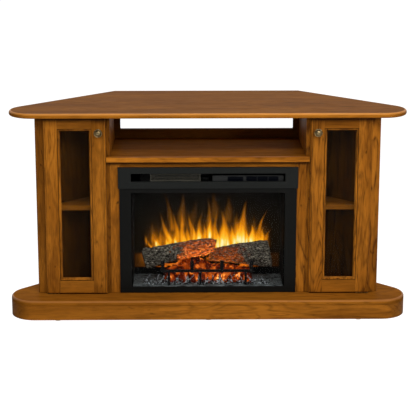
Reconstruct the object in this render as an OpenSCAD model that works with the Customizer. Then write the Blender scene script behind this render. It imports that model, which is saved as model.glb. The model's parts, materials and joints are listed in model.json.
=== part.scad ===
// Corner fireplace: a wooden corner cabinet with an open shelf, two glazed
// cabinets and a plug-in electric firebox. Millimetres, +Z up, front at -Y.
// The origin is on the floor, in the middle of the whole object's plan.

/* [Cabinet] */
// Width of the body across its front, over the eased corners
body_w = 1280; // [1260:5:1300]
// Height from the floor to the top surface
overall_h = 778; // [770:1:800]
// Thickness of the solid boards
board_t = 19; // [18:0.5:20]
// Radius of the body's eased front corners
corner_r = 5; // [3:1:7]
// Clear width of the open shelf compartment
shelf_w = 728; // [724:2:732]
// Height of the open shelf's upper face above the floor
shelf_z = 603; // [600:1:606]
// Depth from the body's front to its back frame
centre_d = 330; // [310:5:345]

/* [Top board] */
// How far the top stands in front of the body
top_front = 75; // [60:1:90]
// Distance from the body's front plane to the top's back edge
top_back = 425; // [400:5:440]
// How far outside the body the top's 45 degree edge crosses the front plane
top_wing = 154; // [135:1:160]
// Radius of the front tips in plan
tip_r = 95; // [70:1:105]
// Radius of the rounded edges
edge_r = 8; // [4:0.5:9]

/* [Base] */
// Height of the base
base_h = 76; // [70:1:84]
// How far the base stands in front of the body
base_front = 105; // [90:1:115]
// Distance from the body's front plane to the base's back edge
base_back = 400; // [385:5:415]
// How far outside the body the base's 45 degree edge crosses the front plane
base_wing = 130; // [115:1:140]
// Thickness of the plinth's upright boards
plinth_t = 22; // [20:1:26]
// Height of the floor glides
glide_h = 3; // [2:0.5:5]

/* [Doors] */
// Width of each door
door_w = 227; // [224:0.5:228]
// Gap between the doors' ends and the boards above and below
door_gap = 3; // [2.6:0.1:4]
// Width of the door stiles and of the bottom rail
stile_w = 50; // [46:1:54]
// Width of the door's top rail
top_rail_w = 44; // [40:1:52]
// Width of the moulding round the glass
bead_w = 10; // [8:1:12]
// Width of the bevel on the doors' outer edges
door_bevel = 3; // [2:0.5:4]
// Diameter of the knobs
knob_d = 31; // [28:1:34]
// Diameter of the hinge pins
pin_d = 6; // [5:0.5:6]

/* [Firebox] */
// Width of the firebox's upper bar
fire_w = 670; // [666:2:672]
// Height of the upper bar with the slot
bar_h = 80; // [77:1:83]
// Width of the glass window
window_w = 574; // [560:2:580]
// Depth of the firebox behind the body's front
fire_d = 222; // [215:1:240]
// Depth of the flame screen behind the body's front
screen_y = 150; // [145:1:156]
// Number of charcoal pieces in front of the embers
charcoal_count = 28; // [10:1:30]
// Number of blades on the blower wheel
blade_count = 18; // [12:2:24]

/* [Hidden] */
$fn = 48;

front_wood = "#8a5220";
top_wood = "#7c5536";
dark_wood = "#3a2214";
black_steel = "#1c1f20";
brass = "#8d7a50";

// Everything below is drawn with the body's front face at y = 0; this brings
// the middle of the whole plan to the origin.
face_y = (base_front - top_back) / 2;

root2 = sqrt(2);
side_c = body_w / 2 + corner_r * root2; // x + y on the side panels' outer face
body_z0 = base_h;
body_z1 = overall_h - board_t;
body_h = body_z1 - body_z0;
part_in = shelf_w / 2;
part_out = part_in + board_t;
diag_t = board_t * root2; // a board's thickness measured along x on a 45 degree side

stile_in = 404; // inner edge of the cabinets' face frame
stile_out = 578; // its outer edge
fire_open = 325; // half the firebox opening in the face frame
fire_open_z = 555;
shelf_under = shelf_z - board_t;
back_t = 18;
window_x = 341; // half the open window in the back
back_rail_h = 37;
top_rail_h = 38;

door_t = 19;
door_back = -2; // the doors close 2 mm in front of the face frame
door_front = door_back - door_t;
door_x0 = 379;
door_x1 = door_x0 + door_w;
door_z0 = body_z0 + door_gap;
door_z1 = body_z1 - door_gap;
glass_x0 = door_x0 + stile_w;
glass_x1 = door_x1 - stile_w;
glass_z0 = door_z0 + stile_w;
glass_z1 = door_z1 - top_rail_w;
hinge_x = door_x1 - 5;
hinge_y = (door_front + door_back) / 2;
leaf_t = 2;
pin_run = 15; // how far a hinge pin reaches into the door
pin_play = 0.05;
leaf_reach = 42; // from the hinge pin to the leaf's inner end
knob_x = door_x0 + stile_w / 2;
knob_z = 699;
knob_reach = 26;
screw_r = 2;
catch_z = 640; // lower end of the magnetic catch
catch_h = 32;

shell_x = 322;
shell_z1 = 553;
sheet = 1.5;
fire_z0 = 77;
fire_z1 = 563;
bar_z = fire_z1 - bar_h;
bar_y = -14;
trim_y = -8;
trim_x = 331;
win_x = window_w / 2;
win_z0 = 100;
win_z1 = 465;
slot_x = 287;
slot_z0 = 509;
slot_z1 = 540;
ceiling_z = 485;
chamber_x = 284;
glass_t = 4;
screen_t = 3;

mat_top = 100;
ember_x = 172;
ember_y0 = 38;
ember_y1 = 126;
sill_z = 128; // top of the sill that the flame screen stands on
grate_y = 15;
grate_z = 150;
upright_x = [-171, -60, 53, 165];
rod_y = 186;
rod_z = 118;
rod_r = 3;
rod_end = 264;

blower_y = 110;
blower_z = 518;
wheel_r = 20;
wheel_x0 = -206;
wheel_x1 = -40;
duct_x0 = -215;
duct_x1 = -28;
plate_y = 8;
plate_x0 = 17;
plate_x1 = 281;
plate_h = 29; // leaves a gap under the slot's top
display_x = [73, 132];
button_w = 38;
button_h = 19;
button_z = 514.5;
button_x = [162, 203, 244];
button_y = 5;
button_slack = 0.4;

module at_face() { translate([0, face_y, 0]) children(); }

module both_sides() {
    children();
    mirror([1, 0, 0]) children();
}

// Points of an arc about (cx, cy), from angle a0 to a1
function arc(cx, cy, r, a0, a1, n) =
    [for (i = [0:n]) let (a = a0 + (a1 - a0) * i / n) [cx + r * cos(a), cy + r * sin(a)]];

// A repeatable uneven value between -1 and 1 for piece i
function uneven(i, k) = sin(i * 137.5 + k * 61.3) * cos(i * 53.7 + k * 29.1);

// ---- Boards with the corner plan --------------------------------------

// x of a tip circle's centre for a plan whose 45 degree side crosses the front plane at c
function tip_x(c, front) = c - (tip_r - front) - tip_r * root2;

// A disc with a rounded upper rim, and a rounded lower rim where asked
module rounded_disc(r, t, r_up, r_low) {
    rotate_extrude($fn = 72)
        polygon(concat([[0, 0]],
            r_low > 0 ? arc(r - r_low, r_low, r_low, -90, 0, 5) : [[r, 0]],
            arc(r - r_up, t - r_up, r_up, 0, 90, 5), [[0, t]]));
}

// A board with rounded front tips, 45 degree sides and a straight back edge
module corner_board(c, front, back, t, r_up, r_low) {
    back_r = 10;
    hull() both_sides() {
        translate([tip_x(c, front), tip_r - front, 0]) rounded_disc(tip_r, t, r_up, r_low);
        translate([c - (back - back_r) - back_r * root2, back - back_r, 0])
            rounded_disc(back_r, t, r_up, r_low);
    }
}

top_c = body_w / 2 + top_wing;
base_c = body_w / 2 + base_wing;
deck_z = base_h - board_t;
plinth_h = deck_z - glide_h;
base_tip_x = tip_x(base_c, base_front);
base_tip_y = tip_r - base_front;
side_start_y = base_tip_y + tip_r / root2; // where a plinth side leaves its tip

module top_board() {
    color(top_wood) at_face() translate([0, 0, body_z1])
        corner_board(top_c, top_front, top_back, board_t, edge_r, edge_r);
}

module base_deck() {
    color(front_wood) at_face() translate([0, 0, deck_z])
        corner_board(base_c, base_front, base_back, board_t, edge_r, 0);
}

module plinth_front() {
    color(front_wood) at_face() translate([-base_tip_x, -base_front, glide_h])
        cube([2 * base_tip_x, plinth_t, plinth_h]);
}

module plinth_sides() {
    inner_c = base_c - plinth_t * root2;
    step = plinth_t / root2;
    start = [base_c - side_start_y, side_start_y];
    color(front_wood) at_face() both_sides() translate([0, 0, glide_h])
        linear_extrude(plinth_h)
            polygon([start, [base_c - base_back, base_back], [inner_c - base_back, base_back],
                start - [step, step]]);
}

module plinth_tips() {
    color(front_wood) at_face() both_sides() translate([base_tip_x, base_tip_y, glide_h])
        difference() {
            cylinder(h = plinth_h, r = tip_r);
            translate([0, 0, -1]) cylinder(h = plinth_h + 2, r = tip_r - plinth_t);
            // what lies beyond the front board's end and the side board's end
            translate([-2 * tip_r, -2 * tip_r, -1]) cube([2 * tip_r, 4 * tip_r, plinth_h + 2]);
            rotate([0, 0, 45]) translate([-2 * tip_r, 0, -1]) cube([4 * tip_r, 2 * tip_r, plinth_h + 2]);
        }
}

module plinth_back() {
    inner_c = base_c - plinth_t * root2;
    y0 = base_back - plinth_t;
    color(dark_wood) at_face() translate([0, 0, glide_h]) linear_extrude(plinth_h)
        polygon([[base_back - inner_c, base_back], [inner_c - base_back, base_back],
            [inner_c - y0, y0], [y0 - inner_c, y0]]);
}

module floor_glides() {
    mid_c = base_c - plinth_t / root2;
    mid_y = 200;
    spots = [[0, -base_front + plinth_t / 2], [560, -base_front + plinth_t / 2],
        [mid_c - mid_y, mid_y], [250, base_back - plinth_t / 2]];
    color("#d8d4c8") at_face() {
        for (i = [0:3]) translate([spots[i][0], spots[i][1], 0]) cylinder(h = glide_h, r = 10);
        for (i = [1:3]) translate([-spots[i][0], spots[i][1], 0]) cylinder(h = glide_h, r = 10);
    }
}

// ---- Body --------------------------------------------------------------

shelf_pin_r = 2.5;
shelf_pin_y = [60, 190];
cab_shelf_z = 391;

module pin_at_partition(y, r) {
    translate([part_out - 8, y, cab_shelf_z - shelf_pin_r]) rotate([0, 90, 0]) cylinder(h = 16, r = r);
}

// The pins in a 45 degree side stand square to it
module pin_at_side(y, r) {
    translate([side_c - diag_t - y, y, cab_shelf_z - shelf_pin_r]) rotate([0, 0, 45])
        rotate([0, 90, 0]) translate([0, 0, -8]) cylinder(h = 16, r = r);
}

module side_panels() {
    y1 = side_c - part_out;
    color(front_wood) at_face() both_sides() difference() {
        translate([0, 0, body_z0]) linear_extrude(body_h)
            polygon([[side_c - board_t, board_t], [part_out, y1], [part_out, y1 - diag_t],
                [side_c - diag_t - board_t, board_t]]);
        for (y = shelf_pin_y) pin_at_side(y - 20, shelf_pin_r);
    }
}

module partitions() {
    color(front_wood) at_face() both_sides() difference() {
        translate([part_in, board_t, body_z0]) cube([board_t, centre_d - board_t, body_h]);
        for (y = shelf_pin_y) pin_at_partition(y, shelf_pin_r);
    }
}

module face_stiles() {
    tip = [side_c - corner_r - corner_r * root2, corner_r];
    color(front_wood) at_face() both_sides() translate([0, 0, body_z0]) {
        linear_extrude(body_h)
            polygon(concat([[stile_out, board_t], [stile_out, 0]],
                arc(tip[0], tip[1], corner_r, -90, 45, 8), [[side_c - board_t, board_t]]));
        translate([part_in, 0, 0]) cube([stile_in - part_in, board_t, body_h]);
    }
}

module fire_stiles() {
    color(front_wood) at_face() both_sides() difference() {
        translate([fire_open, 0, body_z0]) cube([part_in - fire_open, board_t, shelf_under - body_z0]);
        for (z = screw_z) fire_screw(z, screw_r);
    }
}

module face_rails() {
    low_h = 38;
    color(front_wood) at_face() {
        both_sides() {
            translate([stile_in, 0, body_z0]) cube([stile_out - stile_in, board_t, low_h]);
            translate([stile_in, 0, body_z1 - top_rail_h])
                cube([stile_out - stile_in, board_t, top_rail_h]);
        }
        translate([-fire_open, 0, fire_open_z])
            cube([2 * fire_open, board_t, shelf_under - fire_open_z]);
    }
}

module centre_shelf() {
    color(front_wood) at_face() translate([-part_in, 0, shelf_under])
        cube([2 * part_in, centre_d, board_t]);
}

// The strip on the shelf's front runs across the stiles, from door to door
module shelf_nosing() {
    half = door_x0 - 2;
    reach = 20;
    ease = 3;
    color(front_wood) at_face() translate([-half, 0, shelf_under]) rotate([90, 0, 90])
        linear_extrude(2 * half)
            polygon(concat([[0, 0]], [[0, board_t]],
                arc(-reach + ease, board_t - ease, ease, 90, 180, 5),
                arc(-reach + ease, ease, ease, 180, 270, 5)));
}

module back_frame() {
    color(dark_wood) at_face() {
        both_sides() translate([window_x, centre_d, body_z0]) cube([part_out - window_x, back_t, body_h]);
        translate([-window_x, centre_d, shelf_z]) cube([2 * window_x, back_t, back_rail_h]);
        translate([-window_x, centre_d, body_z1 - top_rail_h]) cube([2 * window_x, back_t, top_rail_h]);
    }
}

cable_hole_r = 25;
cable_hole_at = [250, 150];
supply_hole_r = 25;
vent_r = 14;
vent_z = [260, 480];
vent_step = 60;

// Plywood behind the firebox, with rows of air holes, a hole for a cable and one behind the supply inlet
module rear_vent_panel() {
    thick = 6;
    color(dark_wood) at_face() difference() {
        translate([-window_x, centre_d + thick, body_z0])
            cube([2 * window_x, thick, shelf_z - body_z0]);
        for (i = [-4:4]) for (z = vent_z) translate([i * vent_step, centre_d, z])
            rotate([-90, 0, 0]) cylinder(h = 3 * thick, r = vent_r);
        for (hole = [[cable_hole_at, cable_hole_r], [inlet_at, supply_hole_r]])
            translate([hole[0][0], centre_d, hole[0][1]])
                rotate([-90, 0, 0]) cylinder(h = 3 * thick, r = hole[1]);
    }
}

// A shelf with its 45 degree side and its sharp corners cut back
module cabinet_shelves() {
    gap = 1.5;
    x0 = part_out + gap;
    y0 = board_t + 5;
    c = side_c - diag_t - gap * root2;
    nib = 10;
    color(front_wood) at_face() both_sides() translate([0, 0, cab_shelf_z]) linear_extrude(board_t)
        polygon([[x0, y0], [c - y0 - nib, y0], [c - y0 - nib, y0 + nib], [x0 + nib, c - x0 - nib],
            [x0, c - x0 - nib]]);
}

module shelf_pins() {
    color(brass) at_face() both_sides() {
        for (y = shelf_pin_y) pin_at_partition(y, shelf_pin_r);
        for (y = shelf_pin_y) pin_at_side(y - 20, shelf_pin_r);
    }
}

// ---- Doors: drawn on the right, mirrored for the left --------------------

module on_side(side) { at_face() mirror([side < 0 ? 1 : 0, 0, 0]) children(); }

// A leaf under the top board or on the deck, with its pin standing into the door
module frame_leaf() {
    boss = door_gap - leaf_t - 0.2;
    translate([hinge_x - leaf_reach, hinge_y - 7, 0]) cube([leaf_reach + 4, 14, leaf_t]);
    translate([hinge_x, hinge_y, leaf_t / 2]) cylinder(h = leaf_t / 2 + boss, r = pin_d / 2 + 2.5);
    translate([hinge_x, hinge_y, leaf_t / 2]) cylinder(h = door_gap - leaf_t / 2 + pin_run, r = pin_d / 2);
}

module hinge_frame_leaves() {
    color(brass) at_face() both_sides() {
        translate([0, 0, body_z0]) frame_leaf();
        translate([0, 0, body_z1]) mirror([0, 0, 1]) frame_leaf();
    }
}

// The magnet stands through the face frame to meet the door's strike plate
module magnetic_catches() {
    magnet_w = 16;
    off_stile = 0.5;
    body_d = 14;
    color("#3b3b3d") at_face() both_sides() {
        translate([part_out, board_t, catch_z])
            cube([stile_in - part_out + off_stile + magnet_w, body_d, catch_h]);
        translate([stile_in + off_stile, -0.5, catch_z]) cube([magnet_w, board_t + 0.5, catch_h]);
    }
}

door_leaf_h = 2;

module door_pin_bore(r) {
    translate([hinge_x, hinge_y, door_z0 - 1]) cylinder(h = pin_run + 2, r = r);
    translate([hinge_x, hinge_y, door_z1 - pin_run - 1]) cylinder(h = pin_run + 2, r = r);
}

module door_leaf_space() {
    for (z = [door_z0 - 1, door_z1 - door_leaf_h])
        translate([hinge_x - leaf_reach, hinge_y - 6, z]) cube([leaf_reach + 2, 12, door_leaf_h + 1]);
}

// The bevel across a stile's end or along a rail's outer edge
module end_bevel(z, up) {
    translate([door_x0 - 1, door_front, z]) mirror([0, 0, up ? 0 : 1]) rotate([90, 0, 90])
        linear_extrude(door_w + 2) polygon([[-1, 1], [-1, -door_bevel - 1], [door_bevel + 1, 1]]);
}

module door_stiles(side) {
    h = door_z1 - door_z0;
    color(front_wood) on_side(side) difference() {
        translate([0, 0, door_z0]) linear_extrude(h) {
            polygon([[door_x0, door_back], [glass_x0, door_back], [glass_x0, door_front],
                [door_x0 + door_bevel, door_front], [door_x0, door_front + door_bevel]]);
            polygon([[door_x1, door_back], [glass_x1, door_back], [glass_x1, door_front],
                [door_x1 - door_bevel, door_front], [door_x1, door_front + door_bevel]]);
        }
        end_bevel(door_z1, true);
        end_bevel(door_z0, false);
        door_pin_bore(pin_d / 2 + 0.4);
        door_leaf_space();
        translate([knob_x, door_back + 1, knob_z]) rotate([90, 0, 0]) cylinder(h = door_t + 2, r = screw_r);
    }
}

module door_rails(side) {
    w = glass_x1 - glass_x0;
    color(front_wood) on_side(side) difference() {
        union() {
            translate([glass_x0, door_front, door_z0]) cube([w, door_t, glass_z0 - door_z0]);
            translate([glass_x0, door_front, glass_z1]) cube([w, door_t, door_z1 - glass_z1]);
        }
        end_bevel(door_z1, true);
        end_bevel(door_z0, false);
        door_leaf_space();
    }
}

// The moulding stands a little behind the door's face and holds the glass from the front
module door_bead(side) {
    w = glass_x1 - glass_x0;
    h = glass_z1 - glass_z0;
    t = 10;
    color(front_wood) on_side(side) translate([glass_x0, door_front + 2, glass_z0]) difference() {
        cube([w, t, h]);
        translate([bead_w, -1, bead_w]) cube([w - 2 * bead_w, t + 2, h - 2 * bead_w]);
    }
}

module door_glass(side) {
    color("#a9b4b3", 0.3) on_side(side)
        translate([glass_x0 + 1, door_front + 12, glass_z0 + 1])
            cube([glass_x1 - glass_x0 - 2, 4, glass_z1 - glass_z0 - 2]);
}

module door_knob(side) {
    r = knob_d / 2;
    color(brass) on_side(side) translate([knob_x, door_front, knob_z]) rotate([90, 0, 0])
        difference() {
            rotate_extrude() polygon(concat([[0, 0], [9, 0], [9, 2], [5.5, 4], [5.5, 12], [r - 2, 16]],
                [[r, 18], [r, 20], [r - 1.5, 21.5], [r - 4, 20.6]],
                [for (a = [20:14:90]) [(r - 4) * cos(a), 20 + (knob_reach - 20) * sin(a)]],
                [[0, knob_reach]]));
            translate([0, 0, -1]) cylinder(h = 15, r = screw_r);
        }
}

// Hinge leaves, strike plate, knob screw and the strips that keep the glass in
module door_fittings(side) {
    strip = 8;
    strip_gap = 0.2; // between the ends of neighbouring strips
    strip_y = door_front + 16;
    strip_t = door_back - strip_y;
    w = glass_x1 - glass_x0;
    h = glass_z1 - glass_z0;
    color(brass) on_side(side) {
        difference() {
            for (z = [door_z0, door_z1 - door_leaf_h])
                translate([hinge_x - leaf_reach, hinge_y - 6, z]) cube([leaf_reach + 2, 12, door_leaf_h]);
            door_pin_bore(pin_d / 2 + pin_play);
        }
        translate([stile_in - 1, door_back, catch_z + 3]) cube([22, 1.5, catch_h - 6]);
        translate([knob_x, door_back, knob_z]) rotate([90, 0, 0])
            cylinder(h = door_t + 14, r = screw_r);
        translate([knob_x, door_back, knob_z]) rotate([-90, 0, 0]) cylinder(h = 1.5, r = 4);
        for (z = [glass_z0, glass_z1 - strip])
            translate([glass_x0, strip_y, z]) cube([w, strip_t, strip]);
        for (x = [glass_x0, glass_x1 - strip])
            translate([x, strip_y, glass_z0 + strip + strip_gap])
                cube([strip, strip_t, h - 2 * (strip + strip_gap)]);
    }
}

// ---- Firebox shell and front ----------------------------------------------

module firebox_shell() {
    color(black_steel) at_face() difference() {
        union() {
            difference() {
                translate([-shell_x, 0, body_z0]) cube([2 * shell_x, fire_d, shell_z1 - body_z0]);
                translate([-shell_x + sheet, -1, body_z0 + sheet])
                    cube([2 * (shell_x - sheet), fire_d + 2, shell_z1 - body_z0 - 2 * sheet]);
            }
            translate([-shell_x, 5, ceiling_z]) cube([2 * shell_x, fire_d - 5, sheet]);
            both_sides() translate([chamber_x, 5, body_z0]) cube([sheet, fire_d - 5, ceiling_z - body_z0]);
            translate([-chamber_x, screen_y, body_z0]) cube([2 * chamber_x, screen_t, sill_z - body_z0]);
        }
        both_sides() for (z = screw_z) fire_screw(z, screw_r);
    }
}

// The removable back has air slots for the blower and a collared hole for the supply
inlet_at = [-262, 200];
inlet_r = 8;

module firebox_rear_cover() {
    color(black_steel) at_face() difference() {
        union() {
            translate([-shell_x, fire_d, body_z0]) cube([2 * shell_x, sheet, shell_z1 - body_z0]);
            translate([inlet_at[0], fire_d, inlet_at[1]]) rotate([-90, 0, 0]) cylinder(h = 10, r = 12);
        }
        translate([inlet_at[0], fire_d - 1, inlet_at[1]]) rotate([-90, 0, 0]) cylinder(h = 12, r = inlet_r);
        for (i = [0:11]) translate([-205 + i * 14, fire_d - 1, 500]) cube([6, sheet + 2, 38]);
    }
}

module trim_frame() {
    color(black_steel) at_face() difference() {
        translate([-trim_x, trim_y, fire_z0]) cube([2 * trim_x, -trim_y, bar_z - fire_z0]);
        translate([-win_x, trim_y - 1, win_z0]) cube([2 * win_x, 2 - trim_y, win_z1 - win_z0]);
        translate([-win_x - 5, -3, win_z0 - 5]) cube([2 * win_x + 10, 4, win_z1 - win_z0 + 10]);
    }
}

module fascia_bar() {
    color(black_steel) at_face() difference() {
        translate([-fire_w / 2, bar_y, bar_z]) cube([fire_w, -bar_y, bar_h]);
        translate([-slot_x, bar_y - 1, slot_z0]) cube([2 * slot_x, 2 - bar_y, slot_z1 - slot_z0]);
    }
}

module front_glass() {
    color("#303436", 0.3) at_face() translate([-win_x - 4.5, -3, win_z0 - 4.5])
        cube([2 * win_x + 9, glass_t, win_z1 - win_z0 + 9]);
}

screw_z = [200, 430];

// A screw along x, from inside the shell into the stile beside it
module fire_screw(z, r) {
    translate([shell_x - 8, board_t / 2, z]) rotate([0, 90, 0]) cylinder(h = 26, r = r);
}

module firebox_screws() {
    color("silver") at_face() both_sides() for (z = screw_z) {
        fire_screw(z, screw_r);
        translate([shell_x - 10, board_t / 2, z]) rotate([0, 90, 0]) cylinder(h = 3, r = 4);
    }
}

module flame_screen() {
    color("#2a2622") at_face() translate([-chamber_x + 0.5, screen_y, sill_z])
        cube([2 * chamber_x - 1, screen_t, ceiling_z - sill_z]);
}

// ---- Fuel bed -------------------------------------------------------------

// A log along x: rings whose radius swells and dips with the angle and the length,
// and whose tops lean along it by the two numbers of lean at its ends
function log_ring(a, b, ra, rb, t, sides, k, lean) =
    let (c = a + (b - a) * t + [0, 0, 5 * sin(180 * t)], r = ra + (rb - ra) * t)
    [for (j = [0:sides - 1]) let (q = 360 * j / sides,
        w = r * (1 + 0.05 * sin(2 * q + 250 * t + k) + 0.04 * sin(5 * q - 400 * t + k)
            + 0.03 * sin(9 * q + 700 * t)))
        c + [(lean[0] + (lean[1] - lean[0]) * t) * sin(q), w * cos(q), w * sin(q)]];

module log_solid(a, b, ra, rb, k, lean) {
    rings = 22;
    sides = 22;
    pts = [for (i = [0:rings]) each log_ring(a, b, ra, rb, i / rings, sides, k, lean)];
    ends = [log_ring(a, b, 0, 0, 0, 1, k, [0, 0])[0], log_ring(a, b, 0, 0, 1, 1, k, [0, 0])[0]];
    n = len(pts);
    skin = [for (i = [0:rings - 1]) for (j = [0:sides - 1])
        let (p = i * sides + j, q = i * sides + (j + 1) % sides)
        each [[p, p + sides, q], [q, p + sides, q + sides]]];
    caps = [for (j = [0:sides - 1]) let (q = (j + 1) % sides)
        each [[n, j, q], [n + 1, rings * sides + q, rings * sides + j]]];
    polyhedron(concat(pts, ends), concat(skin, caps), convexity = 4);
}

module log_left() {
    color("#3c3029") at_face() log_solid([-243, 70, 187], [32, 52, 243], 38, 31, 20, [-9, 9]);
}

module log_right() {
    color("#3c3029") at_face() log_solid([8, 122, 184], [240, 80, 201], 23, 50, 140, [4, -8]);
}

// A front bar with upturned ends, bars back under the logs with posts that the
// logs sit on, a rear bar and legs
cross_drop = 4; // the cross bars lie this much below the front bar

module grate() {
    bar = 8;
    bar_x = [-178, 171];
    front_h = 10;
    up_w = 14;
    up_h = 44;
    leg_w = 9;
    leg_d = 6;
    leg_x = [-147, -29, 143];
    posts = [[70, 172], [62, 195], [110, 168], [92, 164]]; // y and top, one on each cross bar
    back_y = 128;
    color("#141414") at_face() {
        translate([bar_x[0], grate_y - bar / 2, grate_z]) cube([bar_x[1] - bar_x[0], bar, front_h]);
        translate([bar_x[0], back_y, grate_z]) cube([bar_x[1] - bar_x[0], bar, bar]);
        for (i = [0:3]) let (x = upright_x[i], post = posts[i]) {
            translate([x - up_w / 2, grate_y - bar / 2, grate_z]) cube([up_w, bar, up_h]);
            translate([x - bar / 2, grate_y, grate_z - cross_drop]) cube([bar, back_y - grate_y + bar, bar]);
            translate([x - bar / 2, post[0] - bar / 2, grate_z]) cube([bar, bar, post[1] - grate_z]);
        }
        for (x = leg_x) translate([x - leg_w / 2, grate_y - leg_d / 2, mat_top])
            cube([leg_w, leg_d, grate_z - mat_top + 1]);
        for (x = [upright_x[0], upright_x[3]]) translate([x - leg_w / 2, back_y + 1, mat_top])
            cube([leg_w, leg_d, grate_z - mat_top + 1]);
    }
}

ember_rise = 48; // height gained from the front to the back
heap_x = [-135, -10]; // a higher heap behind the left log
heap_h = 18;
groove_w = 12; // grooves over the grate's two middle cross bars

// Height of the ember bed at x, and at v from 0 to 1 across its depth
function ember_h(x, v) =
    let (u = (x / ember_x + 1) / 2,
        heap = x > heap_x[0] && x < heap_x[1]
            ? heap_h * sin(180 * (x - heap_x[0]) / (heap_x[1] - heap_x[0])) : 0,
        lump = 5 * sin(900 * u) * sin(400 * v) * sin(180 * u) * sin(180 * v),
        h = mat_top + 2 + ember_rise * pow(sin(180 * u), 0.25) * pow(v, 0.4) + heap * v * v + lump)
    min(h, min([for (i = [1, 2]) abs(x - upright_x[i]) <= groove_w / 2 ? grate_z - cross_drop - 1 : h]));

function steps(a, b, n) = [for (i = [0:n]) a + (b - a) * i / n];

module ember_bed() {
    lip = groove_w / 2 + 2.5;
    cols = concat(steps(-ember_x, upright_x[1] - lip, 9),
        [upright_x[1] - groove_w / 2, upright_x[1] + groove_w / 2],
        steps(upright_x[1] + lip, upright_x[2] - lip, 8),
        [upright_x[2] - groove_w / 2, upright_x[2] + groove_w / 2],
        steps(upright_x[2] + lip, ember_x, 10));
    nu = len(cols) - 1;
    nv = 9;
    low = mat_top;
    d = ember_y1 - ember_y0;
    top = [for (j = [0:nv]) for (i = [0:nu])
        [cols[i], ember_y0 + d * j / nv, ember_h(cols[i], j / nv)]];
    bottom = [for (p = top) [p[0], p[1], low]];
    n = len(top);
    row = nu + 1;
    faces = [for (j = [0:nv - 1]) for (i = [0:nu - 1]) let (p = j * row + i)
        each [[p, p + row, p + 1], [p + 1, p + row, p + row + 1],
            [n + p, n + p + 1, n + p + row], [n + p + 1, n + p + row + 1, n + p + row]]];
    front = [for (i = [0:nu - 1]) each [[i, i + 1, n + i], [i + 1, n + i + 1, n + i]]];
    rear = [for (i = [0:nu - 1]) let (p = nv * row + i)
        each [[p, n + p, p + 1], [p + 1, n + p, n + p + 1]]];
    left = [for (j = [0:nv - 1]) let (p = j * row) each [[p, n + p, p + row], [p + row, n + p, n + p + row]]];
    right = [for (j = [0:nv - 1]) let (p = j * row + nu)
        each [[p, p + row, n + p], [p + row, n + p + row, n + p]]];
    color("#d8591c") at_face() polyhedron(concat(top, bottom), concat(faces, front, rear, left, right),
        convexity = 6);
}

// A tray on the floor of the firebox, open under the embers for their light
module ash_mat() {
    z0 = body_z0 + sheet;
    edge = 10;
    color("#5b6061") at_face() difference() {
        translate([-chamber_x, 5, z0]) cube([2 * chamber_x, screen_y - 5, mat_top - z0]);
        translate([-ember_x + edge, ember_y0 + edge, z0 - 1])
            cube([2 * (ember_x - edge), ember_y1 - ember_y0 - 2 * edge, mat_top - z0 + 2]);
    }
}

// Bent, tapered pieces of charcoal along the front of the embers
module charcoal_row() {
    span = 470;
    color("#8b9293") at_face() for (i = [0:charcoal_count - 1])
        translate([-span / 2 + span * i / (charcoal_count - 1) - 4, 27 + 2 * uneven(i, 1), mat_top - 2])
            rotate([7 * uneven(i, 2), 20 * uneven(i, 3), 0])
                cylinder(h = 26 + 9 * uneven(i, 4), r1 = 4.2, r2 = 2, $fn = 14);
}

// Boards with lamps: one glows up through the embers, one lights the flame rod
module lamp_boards() {
    board = 2;
    z0 = body_z0 + sheet;
    ember_board_w = 310;
    rod_board_w = 400;
    rod_board_y = 205;
    color("#4f7a3a") at_face() {
        translate([-ember_board_w / 2, 56, z0]) cube([ember_board_w, 45, board]);
        for (i = [-5:5]) translate([i * 28, 78, z0 + board]) cylinder(h = 6, r = 3.5);
        translate([-rod_board_w / 2, rod_board_y, z0]) cube([rod_board_w, board, 26]);
        for (i = [-6:6]) translate([i * 30, rod_board_y, z0 + 15]) rotate([90, 0, 0]) cylinder(h = 5, r = 3);
    }
}

// ---- Flicker drive -----------------------------------------------------------

module flicker_rod() {
    flaps = 18;
    flap = [16, 32, 1.2];
    flap_step = 28;
    color("#b9bcbf") at_face() translate([0, rod_y, rod_z]) {
        translate([-rod_end, 0, 0]) rotate([0, 90, 0]) cylinder(h = 2 * rod_end - 4, r = rod_r);
        for (i = [0:flaps - 1])
            translate([-246 + i * flap_step, 0, 0]) rotate([i * 47, 0, 0])
                translate([0, -flap[1] / 2, -flap[2] / 2]) cube(flap);
    }
}

// Motor on its bracket at the rod's right end, with a bored drive boss
module flicker_motor() {
    color("#9a8f6a") at_face() difference() {
        union() {
            translate([rod_end - 6, rod_y, rod_z]) rotate([0, 90, 0]) cylinder(h = 24, r = 20);
            translate([rod_end - 2, rod_y - 14, body_z0 + sheet]) cube([3, 28, rod_z - body_z0]);
        }
        translate([rod_end - 7, rod_y, rod_z]) rotate([0, 90, 0]) cylinder(h = 12, r = rod_r + pin_play);
    }
}

module rod_bush() {
    color("#d9c27a") at_face() difference() {
        union() {
            translate([-rod_end - 2, rod_y, rod_z]) rotate([0, 90, 0]) cylinder(h = 8, r = 7);
            translate([-rod_end, rod_y - 5, body_z0 + sheet]) cube([4, 10, rod_z - body_z0 - sheet]);
        }
        translate([-rod_end - 3, rod_y, rod_z]) rotate([0, 90, 0]) cylinder(h = 10, r = rod_r + pin_play);
    }
}

// ---- Heater -------------------------------------------------------------------

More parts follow.
